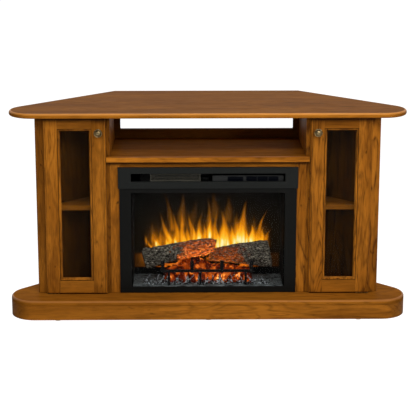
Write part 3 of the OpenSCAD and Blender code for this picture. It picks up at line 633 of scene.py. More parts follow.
def barkMaterial(settings):
    # grey bark with pale flecks and dark fissures, charred and lit where the points hold a glow
    material = glowMaterial("logBark", settings["dark"], settings["grey"], 120, 1.0, 0.9, 0.0012)
    tree = material.node_tree
    flecks = noiseNode(tree, placeNode(tree, (0.5, 1, 1)), settings["fleckPitch"], 3.0, 0.7)
    colour = mixColour(tree, spreadNode(tree, flecks, 0.40, 0.60), settings["dark"], settings["grey"])
    colour = mixColour(tree, spreadNode(tree, flecks, 0.60, 0.72, 0.0, 0.9), colour, settings["pale"])
    fissures = mathNode(tree, "SUBTRACT", 1.0, heldNode(tree, "relief"))
    colour = mixColour(tree, fissures, colour, settings["dark"])
    lit = newNode(tree, "SeparateColor", Color=heldNode(tree, "glow", "Color")).outputs[0]
    charred = mathNode(tree, "MULTIPLY", spreadNode(tree, lit, 0.0, 0.12, 0.0, 0.9),
                       spreadNode(tree, flecks, 0.52, 0.66, 1.0, 0.45))
    colour = mixColour(tree, charred, colour, settings["charred"])
    feed(tree, tree.nodes["Principled BSDF"].inputs["Base Color"], colour)
    return material


doorEdgeShade = [(0.386, 0.5), (0.600, 0.3)]  # painted shade lines beside the doors
uprightWood = woodMaterial("uprightWood", "z", {**toned(woodSettings, 0.90), "doorEdgeShade": doorEdgeShade})
levelSettings = {**woodSettings, "contrast": 0.8}
levelWood = woodMaterial("levelWood", "x", toned(levelSettings, 0.76))
nosingWood = woodMaterial("nosingWood", "x", toned(levelSettings, 1.11))
# a brighter copy for the cabinets' shelves behind the glass: painted light
litShelfWood = woodMaterial("litShelfWood", "x", toned(levelSettings, 1.70))
shadowWood = woodMaterial("shadowWood", "x", toned(levelSettings, 0.40))
flatSettings = {**woodSettings, "shadeUnderTop": 0.0, "contrast": 0.65, "shine": 0.005, "roughness": 0.5}
topWood = woodMaterial("topWood", "x", toned({**flatSettings, "shine": 0.012}, 0.93))
# the base's painted highlight is duller
deckWood = woodMaterial("deckWood", "x", toned({**flatSettings, "worn": srgb(182, 118, 54)}, 0.76))
# a darker copy for the centre shelf in its recess: painted shade
shadedShelfWood = woodMaterial("shadedShelfWood", "x", toned(flatSettings, 0.62))

finishes = {
    "nylon": mottled("nylon", srgb(205, 200, 188), srgb(222, 218, 208), 300, 0.6),
    "antique_brass": mottled("antiqueBrass", srgb(100, 85, 56), srgb(152, 134, 98), 120, 0.30, 1.0),
    "dark_plastic": mottled("darkPlastic", srgb(38, 39, 39), srgb(46, 47, 47), 900, bump=0.00005,
                            shine=0.12),
    # the clear panes' near-black tint at a quarter's cover is painted shade over what lies behind them
    "clear_glass": glassMaterial("clearGlass", srgb(12, 9, 6), 0.25, 0.10),
    "smoked_glass": glassMaterial("smokedGlass", srgb(12, 13, 12), 0.12, 0.18),
    "black_steel": mottled("blackSteel", srgb(7, 7, 7), srgb(11, 11, 11), 700, 0.6, bump=0.00004,
                           shine=0.06),
    "satin_black_steel": mottled("satinBlack", srgb(13, 14, 13), srgb(18, 18, 17), 1400, bump=0.00005,
                                 shine=0.07),
    "log_resin": barkMaterial(barkSettings),
    "grate_iron": mottled("grateIron", srgb(7, 8, 10), srgb(13, 15, 18), 420, 0.55, bump=0.00005,
                          shine=0.15),
    "ash_fibre": mottled("ashFibre", srgb(14, 16, 17), srgb(132, 141, 143), 130, 0.9, bump=0.0006,
                         stretch=(0.22, 1, 1), shine=0.1, spread=(0.36, 0.70)),
    "circuit_board": mottled("circuitBoard", srgb(24, 74, 38), srgb(34, 92, 48), 250, 0.4),
    "bright_metal": mottled("brightMetal", srgb(170, 172, 175), srgb(200, 202, 204), 240, 0.25, 1.0),
    "motor_steel": mottled("motorSteel", srgb(120, 120, 122), srgb(150, 150, 152), 300, 0.4, 1.0),
    "bush_plastic": mottled("bushPlastic", srgb(196, 178, 126), srgb(214, 198, 150), 300),
    "wheel_metal": mottled("wheelMetal", srgb(90, 94, 97), srgb(120, 124, 127), 300, 0.4, 1.0),
    "element_metal": mottled("elementMetal", srgb(70, 62, 46), srgb(96, 86, 64), 300, 0.5, 0.4),
    "grille_metal": mottled("grilleMetal", srgb(70, 69, 62), srgb(108, 106, 94), 300, 0.5, 0.3),
    "display_plastic": mottled("displayPlastic", srgb(3, 4, 9), srgb(5, 7, 13), 300, 0.2, shine=0.03),
    "button_plastic": mottled("buttonPlastic", srgb(3, 4, 9), srgb(6, 8, 14), 600, 0.35, shine=0.03),
    "screw_steel": mottled("screwSteel", srgb(150, 150, 152), srgb(176, 176, 178), 400, 0.35, 1.0),
    "charcoal_resin": mottled("charcoalResin", srgb(9, 10, 11), srgb(188, 198, 204), 130, 0.7, bump=0.0005,
                              shine=0.25, spread=(0.46, 0.60)),
    "ember_resin": glowMaterial("emberResin", srgb(30, 14, 8), srgb(70, 30, 14), 160, 1.0),
    "flame_screen": glowMaterial("flameScreen", srgb(7, 7, 5), srgb(11, 10, 8), 40, 1.22, 0.45, 0, 0.03),
    "cabinet_wood": uprightWood,
    "top_wood": topWood,
    "dark_wood": shadowWood,
}
fittingBrass = mottled("fittingBrass", srgb(92, 76, 48), srgb(112, 94, 64), 90, 0.55, 0.8)
satinBar = mottled("satinBar", srgb(22, 24, 23), srgb(27, 29, 28), 1400, 0.48, bump=0.00005, shine=0.1)

for nodeName, part in nodes.items():
    finish = fittingBrass if nodeName.endswith("door_fittings") else finishes[slotOf[nodeName]]
    part.data.materials.clear()
    part.data.materials.append(finish)
print("finishes mixed:", len(bpy.data.materials))


# the top board and the base

planSettings = {
    "arcPoints": 40,
    "edgePoints": 9,
    "tip": 0.095,  # radius of the front tips
    "backCorner": 0.010,
    "edge": 0.008,  # radius of the rounded edges
    "rimFrom": 0.15,  # where on the rounded edge the polish and its painted highlight start and are full
    "rimFull": 0.5,
    "topShade": 0.46,  # share of black painted on the flat tops as shade
    # painted shade on the base's flat top
    "deckShade": 0.05,
}


def planOutline(settings, box):
    # four arcs, one at each corner of the plan, as centre, radius and angle for each point;
    # straight edges run between one arc's end and the next one's start
    low, high = box
    tip, corner = settings["tip"], settings["backCorner"]
    tipX = high.x - tip
    tipY = low.y + tip
    reach = tipX + tipY + tip * math.sqrt(2)  # x + y along the 45 degree side
    cornerY = high.y - corner
    cornerX = reach - cornerY - corner * math.sqrt(2)
    parts = []
    for centreX, centreY, radius, first, last in (
            (tipX, tipY, tip, -90, 45), (cornerX, cornerY, corner, 45, 90),
            (-cornerX, cornerY, corner, 90, 135), (-tipX, tipY, tip, 135, 270)):
        angle = np.radians(np.linspace(first, last, settings["arcPoints"]))
        parts.append(np.stack([np.full_like(angle, centreX), np.full_like(angle, centreY),
                               np.full_like(angle, radius), angle], 1))
    return np.concatenate(parts)


def edgedBoard(name, material, roundLow, flatShade, settings):
    # each outline point moves in from its arc by 1 - cos of the rim's angle and up by its sine, times the
    # edge radius
    low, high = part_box(name)
    outline = planOutline(settings, (low, high))
    edge = settings["edge"]
    turn = np.linspace(0, math.pi / 2, settings["edgePoints"])
    inset = edge * (1 - np.cos(turn))
    rise = edge * np.sin(turn)
    upper = np.stack([inset, high.z - edge + rise], 1)
    lower = np.stack([inset, low.z + edge - rise], 1)[::-1] if roundLow else np.array([[0, low.z]])
    rim = np.concatenate([lower, upper])
    centreX, centreY, radius, angle = outline.T[:, None]
    radius = radius - rim[:, :1]
    z = np.broadcast_to(rim[:, 1:], radius.shape)
    points = np.stack([centreX + radius * np.cos(angle), centreY + radius * np.sin(angle), z], -1)
    piece = meshPiece(name + "Formed", points, tubeFaces(len(rim), len(outline)))
    outward(piece)
    mesh = piece.data
    up = (pointsOf(mesh)[:, 2] - (high.z - edge)) / edge  # 0 where the upper edge starts, 1 on the flat top
    flatTop = up >= 0.999
    # the polish raises the shine and paints a highlight on the rounded edge
    polish = smoothStep(settings["rimFrom"], settings["rimFull"], up)
    holdValues(mesh, "rim", "FLOAT", polish * ~flatTop)
    # painted shade on the flat top
    holdValues(mesh, "stainAndShade", "FLOAT", flatShade * flatTop)
    mesh.polygons.foreach_set("use_smooth", [abs(face.normal.z) <= 0.999 for face in mesh.polygons])
    return standIn(piece, name, material)


edgedBoard("top_board", topWood, True, planSettings["topShade"], planSettings)
edgedBoard("base_deck", deckWood, False, planSettings["deckShade"], planSettings)
for nodeName in ("plinth_front", "plinth_sides", "plinth_tips"):
    nodes[nodeName].data.materials[0] = levelWood
print("top and base made")


# the boards of the body

boardSettings = {
    "ease": 0.0012,
    "woods": {
        "side_panels": uprightWood,
        "partitions": uprightWood,
        "face_stiles": uprightWood,
        "fire_stiles": uprightWood,
        "face_rails": levelWood,
        "centre_shelf": shadedShelfWood,
        "shelf_nosing": nosingWood,
        "cabinet_shelves": litShelfWood,
        "back_frame": shadowWood,
    },
}

for key, (nodeName, wood) in enumerate(boardSettings["woods"].items(), 1):
    easedCopy(nodeName, wood, boardSettings["ease"], key)
print("body boards eased:", len(boardSettings["woods"]))


# the doors

doorSettings = {
    "ease": 0.0011,
    "keys": {"left": 21, "right": 31},  # what the grain shifts of each door's boards are made from
    "beadKeys": {"left": 3.1, "right": 5.3},
    "beadRoundPoints": 7,
    "beadRound": ((0.0042, 0.0026), (0.0012, 0.0024)),  # middle and reach of the round, inwards and back
    "beadQuirk": [[0, 0.0002], [0.0004, 0.0034], [0.0014, 0.0034]],
    "beadSlope": [[0.0072, 0.0046], [0.010, 0.0062]],
    "knobPoints": 72,
    "knobStem": [[0.0001, 0], [0.009, 0], [0.0094, 0.0008], [0.009, 0.0022], [0.006, 0.004],
                 [0.0055, 0.008], [0.0058, 0.012]],  # radius and reach
    "knobRim": [[-0.003, 0.0155], [-0.0006, 0.0176], [0, 0.019], [-0.0006, 0.0204], [-0.0020, 0.0208],
                [-0.0030, 0.0199], [-0.0036, 0.0186]],  # past the widest radius, and reach
    "domeInset": 0.0045,
    "domeFrom": 0.0184,
    "domePoints": 12,
}


def mitredBead(name, material, key, settings):
    # a moulding's profile of a quirk, a round and a slope, carried round the glass opening: each point moves
    # in by its first number and towards the back by its second, and the corners are mitred
    low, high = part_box(name)
    depth = high.y - low.y
    (inMiddle, inReach), (backMiddle, backReach) = settings["beadRound"]
    curve = np.linspace(0, math.pi, settings["beadRoundPoints"])
    rounded = np.stack([inMiddle - inReach * np.cos(curve), backMiddle - backReach * np.sin(curve)], 1)
    slope = settings["beadSlope"]
    profile = np.concatenate([[[0, depth]], settings["beadQuirk"], rounded, slope, [[slope[-1][0], depth]]])
    corners = np.array([[low.x, low.z], [high.x, low.z], [high.x, high.z], [low.x, high.z]])
    inwards = np.array([[1, 1], [-1, 1], [-1, -1], [1, -1]])
    flat = corners[:, None, :] + inwards[:, None, :] * profile[None, :, :1]
    depthwise = low.y + np.broadcast_to(profile[None, :, 1], flat.shape[:2])
    points = np.stack([flat[..., 0], depthwise, flat[..., 1]], -1)
    faces = gridFaces(4, len(profile), closeRows=True, closeColumns=True)
    piece = meshPiece(name + "Moulded", points, faces, smooth=False)
    outward(piece)
    shiftBoards(piece.data, key)
    return standIn(piece, name, material)


def turnedKnob(name, material, settings):
    # a profile of radius against reach, turned about the knob's own axis: stem, rim, and a dome as a quarter
    # of an ellipse
    low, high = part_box(name)
    centreX, centreZ = (low.x + high.x) / 2, (low.z + high.z) / 2
    radius, reach = (high.x - low.x) / 2, high.y - low.y
    dome = np.radians(np.linspace(8, 90, settings["domePoints"]))
    domeFrom = settings["domeFrom"]
    profile = np.concatenate([settings["knobStem"], np.array(settings["knobRim"]) + [radius, 0],
                              np.stack([(radius - settings["domeInset"]) * np.cos(dome),
                                        domeFrom + (reach - domeFrom) * np.sin(dome)], 1)])
    profile[-1, 0] = settings["knobStem"][0][0]
    angle = np.linspace(0, 2 * math.pi, settings["knobPoints"], endpoint=False)
    x = centreX + profile[:, :1] * np.cos(angle)
    z = centreZ + profile[:, :1] * np.sin(angle)
    y = np.broadcast_to(high.y - profile[:, 1:], x.shape)
    piece = meshPiece(name + "Turned", np.stack([x, y, z], -1), tubeFaces(len(profile), len(angle)))
    outward(piece)
    return standIn(piece, name, material)


for side, key in doorSettings["keys"].items():
    easedCopy(side + "_door_stiles", uprightWood, doorSettings["ease"], key)
    easedCopy(side + "_door_rails", levelWood, doorSettings["ease"], key + 1)
    mitredBead(side + "_door_bead", uprightWood, doorSettings["beadKeys"][side], doorSettings)
    turnedKnob(side + "_door_knob", finishes["antique_brass"], doorSettings)
print("doors dressed")


# the firebox's front

frontSettings = {
    # node: finish, width of the eased edge
    "fascia_bar": (satinBar, 0.0011),
    "trim_frame": (finishes["satin_black_steel"], 0.0011),
    "grate": (finishes["grate_iron"], 0.0012),
}

for nodeName, (finish, ease) in frontSettings.items():
    easedCopy(nodeName, finish, ease)
print("firebox front eased")


# the flames

flameSettings = {
    "pitch": 0.002,  # spacing of the screen's points
    "shades": [(0, 0, 0), srgb(96, 54, 3), srgb(190, 108, 2), srgb(255, 162, 6), srgb(255, 208, 56),
               srgb(255, 246, 176)],
    "stops": (0.0, 0.16, 0.42, 0.92, 1.70, 2.4),  # the light at which each shade is reached
    "tonguePower": 2.5,  # how square the bell across a tongue is
    "tongueSpread": 1.06,
    "tongueWaist": 0.80,  # share of the width at the foot, and what the belly adds
    "tongueBelly": 0.35,
    "tongueSway": 1.4,
    "tongueTaper": 0.80,
    "tongueFade": 1.1,  # how fast the light goes towards the tip
    "footRise": 20,  # mm below the foot over which the light comes up
    "bedSpan": (-250, 250),  # mm, the glow that joins the tongues
    "bedEnds": ((-250, -190), (205, 252)),  # where it comes up on the left and goes on the right
    "bedTop": 222,
    "bedArch": 20,
    "bedGlow": 0.40,
    "bedFade": 34,
    "even": 0.38,  # how much of the light has no streaks
    "streaks": 1.00,
    "streakCells": (95, 9),  # cells per metre, across and up
    "threads": 0.30,
    "threadCells": (230, 13),
    "mirrored": (0.80, 0.17, 0.008),  # the coals seen in the screen, in linear light
    "mirroredCells": (60, 80),
    "mirroredSpan": (0.36, 0.72),
    "mirroredBelow": (196, 214),
    "mirroredEnds": ((-205, -180), (180, 205)),
    "haze": (0.020, 0.0095, 0.0016),
    "hazeMiddle": (10, 250),
    "hazeReach": (210, 95),
    "amber": (0.155, 0.044, 0.002),
    "amberEnds": ((-284, -238, 0.86), (238, 279, 0.50)),  # from x, to x, brightness
    "amberHeights": ((127, 131), (176, 190)),
    "amberBand": (150, 20, 0.10),  # a duller band: its middle, how far it reaches and how much it takes
    "amberLeast": 0.30,
    "besideLog": (-250, 14, 0.9),  # the brighter strip: its middle, width and what it adds
    "besideLogFrom": (120, 165),
}

# each tongue: foot x and z, tip x and z, width, brightness, bend to the right, in millimetres
tongues = [
    (-219, 208, -229, 238, 5, 0.8, -2), (-194, 208, -198, 246, 8, 1.9, 2),
    (-200, 226, -210, 244, 4, 1.0, 2), (-184, 212, -174, 300, 9, 0.55, -3),
    (-142, 236, -182, 356, 8, 0.62, -8), (-114, 232, -134, 352, 9, 0.66, 4),
    (-136, 286, -168, 430, 10, 0.24, 5), (-157, 216, -158, 248, 6, 1.4, 0),
    (-150, 216, -163, 300, 12, 0.4, 3), (-125, 222, -125, 254, 6, 1.6, 0),
    (-99, 228, -101, 352, 9, 0.82, 3), (-98, 300, -92, 426, 15, 0.26, -2),
    (-88, 226, -88, 268, 6, 1.6, 0), (-74, 230, -84, 308, 7, 0.85, 2),
    (-57, 234, -81, 356, 9, 0.8, 6), (-51, 236, -58, 314, 5, 1.1, 2),
    (-32, 238, -32, 292, 9, 1.45, 0), (-38, 242, -17, 358, 10, 0.5, -3),
    (-8, 244, -12, 308, 6, 0.75, 0), (7, 246, 13, 324, 8, 1.35, -2), (8, 254, 2, 408, 11, 0.66, 3),
    (27, 240, 43, 376, 9, 0.46, -4), (41, 208, 34, 288, 9, 1.9, 2), (66, 212, 56, 358, 18, 1.25, 5),
    (56, 216, 54, 264, 7, 1.2, 0), (77, 214, 72, 274, 9, 1.6, 1), (101, 214, 90, 300, 10, 1.6, 3),
    (135, 218, 152, 396, 18, 1.15, -9), (135, 218, 136, 304, 12, 1.7, 0),
    (117, 230, 140, 336, 7, 0.7, -4), (155, 226, 152, 278, 6, 1.5, 0),
    (165, 228, 167, 268, 6, 1.1, 0), (172, 228, 172, 302, 9, 1.5, 2),
    (195, 232, 232, 360, 8, 0.72, -8), (213, 234, 216, 292, 7, 0.85, -2),
    (200, 232, 203, 260, 6, 1.0, 0), (227, 240, 249, 284, 6, 0.4, -4),
    (79, 320, 84, 418, 16, 0.15, 0), (114, 296, 112, 352, 10, 0.13, 0),
    (-235, 232, -245, 266, 5, 0.3, 0), (-213, 244, -217, 322, 9, 0.26, 3),
    (184, 240, 178, 340, 12, 0.24, 0), (-66, 300, -40, 400, 16, 0.12, 0),
    (30, 330, 24, 436, 16, 0.13, 0), (120, 240, 104, 330, 14, 0.34, 0),
]


def flameLight(x, z, settings):
    # the sum over all tongues of brightness, times a bell across the tongue, times a rise at its foot and a
    # fade to its tip; t is 0 at the foot and 1 at the tip, and the middle bends by 4t(1 - t) times the bend
    light = np.zeros_like(x)
    for footX, footZ, tipX, tipZ, width, bright, bend in tongues:
        t = (z - footZ) / (tipZ - footZ)
        inside = np.clip(t, 0, 1)
        middle = footX + (tipX - footX) * inside + bend * 4 * inside * (1 - inside)
        middle = middle + settings["tongueSway"] * np.sin(inside * 8 + footX)
        belly = np.sin(math.pi * np.minimum(inside * 1.5, 1))
        swell = settings["tongueWaist"] + settings["tongueBelly"] * belly
        across = width * swell * (1 - settings["tongueTaper"] * inside)
        away = np.abs(x - middle) / (settings["tongueSpread"] * across)
        bell = np.exp(-away ** settings["tonguePower"])
        foot = smoothStep(-settings["footRise"], 0, z - footZ)
        light += bright * bell * foot * np.clip(1 - inside, 0, 1) ** settings["tongueFade"] * (t < 1)
    return light


def between(ends, value):
    # 0 outside and 1 inside, with a smooth rise over the first span and a smooth fall over the second
    rise, fall = ends
    return smoothStep(*rise, value) * (1 - smoothStep(*fall, value))


def hump(value, middle, reach):
    # e to the power of minus the square of the distance from the middle, in reaches
    return np.exp(-((value - middle) / reach) ** 2)


def screenColour(x, z, settings):
    # x and z are in metres. Streaks and threads, which are noises drawn out upwards, multiply the light, and
    # the light picks the shade; the coals, the haze and the amber ends are added to it

    def cells(name, seed, octaves):
        across, up = settings[name]
        return flatNoise(x * across, z * up, seed, octaves)

    mmX, mmZ = x * 1000, z * 1000
    bedFrom, bedTo = settings["bedSpan"]
    bed = settings["bedTop"] + settings["bedArch"] * np.sin((mmX - bedFrom) / (bedTo - bedFrom) * math.pi)
    glow = settings["bedGlow"] * np.exp(-(np.maximum(mmZ - bed, 0) / settings["bedFade"]) ** 1.5)
    glow = glow * between(settings["bedEnds"], mmX)
    behind = 1 - smoothStep(*settings["mirroredBelow"], mmZ)
    streaks = cells("streakCells", 5, 3)
    threads = cells("threadCells", 25, 2)
    light = flameLight(mmX, mmZ, settings) + glow * (1 - behind) * (0.5 + streaks)
    light = light * (settings["even"] + settings["streaks"] * streaks + settings["threads"] * threads)
    shades = np.array(settings["shades"])
    colour = np.stack([np.interp(light, settings["stops"], shades[:, k]) for k in range(3)], -1)

    coals = smoothStep(*settings["mirroredSpan"], cells("mirroredCells", 15, 3))
    mirrored = behind * coals * between(settings["mirroredEnds"], mmX)
    colour += mirrored[..., None] * np.array(settings["mirrored"])
    (hazeX, hazeZ), (reachX, reachZ) = settings["hazeMiddle"], settings["hazeReach"]
    haze = hump(mmX, hazeX, reachX) * hump(mmZ, hazeZ, reachZ)
    colour += haze[..., None] * np.array(settings["haze"])
    stripX, stripWidth, stripGain = settings["besideLog"]
    besideLog = hump(mmX, stripX, stripWidth) * smoothStep(*settings["besideLogFrom"], mmZ)
    bandZ, bandReach, bandLoss = settings["amberBand"]
    warm = settings["amberLeast"] + stripGain * besideLog
    warm = warm - bandLoss * smoothStep(bandReach, 0, np.abs(mmZ - bandZ))
    warm = warm * between(settings["amberHeights"], mmZ)
    for left, right, bright in settings["amberEnds"]:
        patch = between(((left, left + 4), (right - 3, right)), mmX)
        colour += (patch * bright * warm)[..., None] * np.array(settings["amber"])
    return colour


def flamePlate(settings):
    # a flat plate, with a dense front grid that holds the flames' colours and four points at its back
    low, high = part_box("flame_screen")
    columns, rows = (int(size / settings["pitch"]) + 1 for size in (high.z - low.z, high.x - low.x))
    x, z = np.meshgrid(np.linspace(low.x, high.x, rows), np.linspace(low.z, high.z, columns), indexing="ij")
    front = np.stack([x, np.full_like(x, low.y), z], -1).reshape(-1, 3)
    back = np.array([[low.x, high.y, low.z], [high.x, high.y, low.z], [high.x, high.y, high.z],
                     [low.x, high.y, high.z]])
    count = rows * columns
    index = np.arange(count).reshape(rows, columns)
    sides = [index[:, 0], index[-1, :], index[::-1, -1], index[0, ::-1]]
    faces = gridFaces(rows, columns)
    for k, side in enumerate(sides):
        faces.append(side[::-1].tolist() + [count + k, count + (k + 1) % 4])
    faces.append([count + k for k in range(4)][::-1])
    piece = meshPiece("flamePlate", np.concatenate([front, back]), faces, smooth=False)
    colour = screenColour(x, z, settings).reshape(-1, 3)
    holdColour(piece, np.concatenate([colour, np.zeros((4, 3))]))
    outward(piece)
    return standIn(piece, "flame_screen", finishes["flame_screen"])


flamePlate(flameSettings)
print("flames painted:", len(tongues), "tongues")


# the logs

logSettings = {
    # places, radii and slants in mm, turns in degrees; the glow and the worn end are shares of the length
    "log_left": {"from": (-243, 70, 187), "to": (27, 52, 243), "radii": (37, 30), "turn": 20, "seed": 11,
                 "slant": (-9, 7), "glowFrom": 0.42, "glowTo": 0.56, "glowWay": 1, "glowTop": 1.26,
                 "wornEnd": (0.30, 0.11)},
    "log_right": {"from": (8, 122, 184), "to": (240, 80, 201), "radii": (23, 50), "turn": 140, "seed": 29,
                  "slant": (4, -8), "glowFrom": 0.36, "glowTo": 0.64, "glowWay": -1, "glowTop": 0.55,
                  "wornEnd": (0.16, 0.02)},
}
barkShape = {
    "rows": 380,
    "columns": 200,
    "arch": 5,  # mm, as are the depths
    "fissures": 4.2,
    "fineFissures": 2.0,
    "grains": 3.0,
    "proud": 1.5,
    "warpCells": (26, 3),  # mm of log for one cell, and cells in the log's radius
    "fissureCells": (18, 6),
    "fineCells": (6, 14),
    "grainCells": (3.2, 14),
    "swells": ((0.05, 2, 250, 1), (0.04, 5, -400, 1), (0.03, 9, 700, 0)),  # height, lobes, twist, own turn
    "firstEndWorn": (0.16, 0.02),  # how much of the radius, over what share of the length
    "capRings": (0.66, 0.33),
    "capRough": 5.0,
    "capGrain": 4,
    "wander": (16, 0.42),  # mm, and how far the edge of the glow strays
    "fissureShade": (0.45, 0.55),  # what a fissure and a fine one take from the relief
    "upperEdge": 30,  # mm from the axis to the upper edge
    "crumbs": (7.0, 3.7, 3.7),  # mm, as are the flakes and the sparks
    "flakes": 7,
    "sparks": 4.6,
    "ember": (1.02, 0.170, 0.015),  # in linear light
    "spark": (0.95, 0.52, 0.10),
}


def barkedLog(name, settings, shape, material):
    # rings along a line with a slight arch: the radius swells and dips with the angle and the length, ridged
    # noise drawn out along the log cuts deep and fine fissures into it, and a finer noise gives it grain
    rows, columns, seed = shape["rows"], shape["columns"], settings["seed"]
    t = np.linspace(0, 1, rows)[:, None]
    angle = np.linspace(0, 2 * math.pi, columns, endpoint=False)[None, :]
    start, end = (np.array(settings[k], float) for k in ("from", "to"))
    centre = start + (end - start) * t[..., None]
    centre = centre + np.array([0, 0, shape["arch"]]) * np.sin(math.pi * t)[..., None]
    radius = settings["radii"][0] + (settings["radii"][1] - settings["radii"][0]) * t
    swell = 1
    for rise, lobes, twist, own in shape["swells"]:
        swell = swell + rise * np.sin(lobes * angle + np.radians(twist * t + own * settings["turn"]))
    around, above = np.cos(angle) + 0 * t, np.sin(angle) + 0 * t
    along = t * np.linalg.norm(end - start) + 0 * angle

    def logPoints(cells, warp=0, upWarp=0):
        # the length and the circle of the log's surface, both counted in cells
        length, turns = shape[cells]
        return np.stack([along / length + warp, around * turns + upWarp, above * turns], -1)

    warp = fractalNoise(logPoints("warpCells"), seed + 40, 2) - 0.5
    ridges = latticeNoise(logPoints("fissureCells", warp * 2, warp * 2), seed)
    fissure = (1 - np.abs(2 * ridges - 1)) ** 3
    fine = latticeNoise(logPoints("fineCells", 0, warp * 3), seed + 7)
    fineFissure = (1 - np.abs(2 * fine - 1)) ** 4
    grainy = fractalNoise(logPoints("grainCells"), seed + 13, 3)
    depth = shape["fissures"] * fissure + shape["fineFissures"] * fineFissure
    depth = depth - shape["grains"] * (grainy - 0.5)
    (firstWorn, firstReach), (worn, reach) = shape["firstEndWorn"], settings["wornEnd"]
    ease = 1 - firstWorn * (1 - smoothStep(0, firstReach, t)) - worn * (1 - smoothStep(0, reach, 1 - t))
    wide = (radius * swell + shape["proud"] - depth) * ease
    slantFrom, slantTo = settings["slant"]  # how far the top of each end leans along the log
    skew = (slantFrom + (slantTo - slantFrom) * t) * np.sin(angle)
    points = centre + np.stack([skew, wide * np.cos(angle), wide * np.sin(angle)], -1)

    def cutEnd(ring):
        # rings drawn in to the middle and roughened along the log
        drawnIn = np.stack([ring.mean(0) + (ring - ring.mean(0)) * share for share in shape["capRings"]])
        rough = fractalNoise(drawnIn / shape["capGrain"], 3, 2)[..., None] - 0.5
        return drawnIn + rough * [shape["capRough"], 0, 0]

    points = np.concatenate([cutEnd(points[0])[::-1], points, cutEnd(points[-1])])
    metres = points / 1000 + np.array([0, faceY, 0])
    piece = meshPiece(name + "Bark", metres, tubeFaces(len(points), columns))

    share = np.clip((points[..., 0] - start[0]) / (end[0] - start[0]), 0, 1)
    wanderSize, stray = shape["wander"]
    wander = fractalNoise(points / wanderSize, seed + 3, 3) - 0.5
    lit = smoothStep(settings["glowFrom"], settings["glowTo"], share + stray * wander)
    lit = lit if settings["glowWay"] > 0 else 1 - lit
    relief = np.ones((len(points), columns))
    shade, fineShade = shape["fissureShade"]
    relief[2:-2] = 1 - np.clip(shade * fissure + fineShade * fineFissure, 0, 1)  # none on the cut ends
    axis = start[2] + (end[2] - start[2]) * share + shape["arch"] * np.sin(math.pi * share)
    height = (points[..., 2] - axis) / shape["upperEdge"]  # about 1 along the log's upper edge
    under = 1 - smoothStep(-1.1, 1.0, height)
    crumbs = smoothStep(0.30, 0.66, fractalNoise(points / np.array(shape["crumbs"]), seed + 5, 2))
    flaked = smoothStep(0.50, 0.66, fractalNoise(points / shape["flakes"], seed + 15, 2))
    flaked = flaked * smoothStep(0.1, 0.9, height)
    warm = lit * (0.10 + 0.90 * crumbs) * (0.35 + 0.65 * relief) * (0.66 + 0.50 * under)
    warm = warm * settings["glowTop"] * (1 - 0.7 * flaked) * (1 - 0.7 * smoothStep(0.88, 1.06, height))
    spark = smoothStep(0.54, 0.74, fractalNoise(points / shape["sparks"], seed + 9, 2))
    spark = spark * (0.3 + 0.9 * under)
    colour = warm[..., None] * (np.array(shape["ember"]) + spark[..., None] * np.array(shape["spark"]))
    holdColour(piece, colour.reshape(-1, 3))
    holdValues(piece.data, "relief", "FLOAT", relief)
    outward(piece)
    return standIn(piece, name, material)


for nodeName, settings in logSettings.items():
    barkedLog(nodeName, settings, barkShape, finishes["log_resin"])
print("logs barked")


# the embers, the ash and the charcoal

def raisedPlate(name, made, x, y, z, bottom, material, glow=None):
    # a height field over a flat underside, with straight sides
    rows, columns = x.shape
    top = np.stack([x, y, z], -1).reshape(-1, 3)
    under = np.where([True, True, False], top, bottom)
    count = rows * columns
    index = np.arange(count).reshape(rows, columns)
    faces = gridFaces(rows, columns)
    faces += [[b + count for b in face[::-1]] for face in faces]
    rim = np.concatenate([index[:-1, 0], index[-1, :-1], index[:0:-1, -1], index[0, :0:-1]])
    after = np.roll(rim, -1)
    faces += np.stack([rim, rim + count, after + count, after], 1).tolist()
    piece = meshPiece(made, np.concatenate([top, under]), faces)
    if glow is not None:
        holdColour(piece, np.concatenate([glow, glow * 0]))
    outward(piece)
    return standIn(piece, name, material)


emberSettings = {
    "rows": 120,
    "columns": 340,
    "rise": 48,  # mm gained from the front of the embers to their back
    "heap": (-140, 10),  # where a higher heap lies
    "heapHeight": 32,
    "coalDepth": 0.005,
    "grainDepth": 0.004,
    "twigHeight": 0.004,
    "noises": {
        # cells per metre across and to the back, mm of rise for one cell, seed, octaves
        "coals": (60, 22, 60, 17, 0),
        "grains": (120, 46, 20, 23, 3),
        "patches": (52, 26, 30, 31, 2),
        "twigs": (46, 12, 70, 71, 0),
    },
    "fan": (0.35, 0.02),  # how much the coals' rows open out to the back, and about which x
    "warp": (1.6, 40),
    "coldHeat": 0.04,
    "crackHeat": 0.70,
    "patchHeat": 1.5,
    "twigShade": 0.90,
    "front": 1.72,  # heat at the front, and how much of it the back has lost
    "backLoss": 0.98,
    "ember": (0.86, 0.185, 0.016),  # in linear light
    "powers": (1.0, 1.5, 2.4),  # how fast each part of the light falls as the embers cool
}


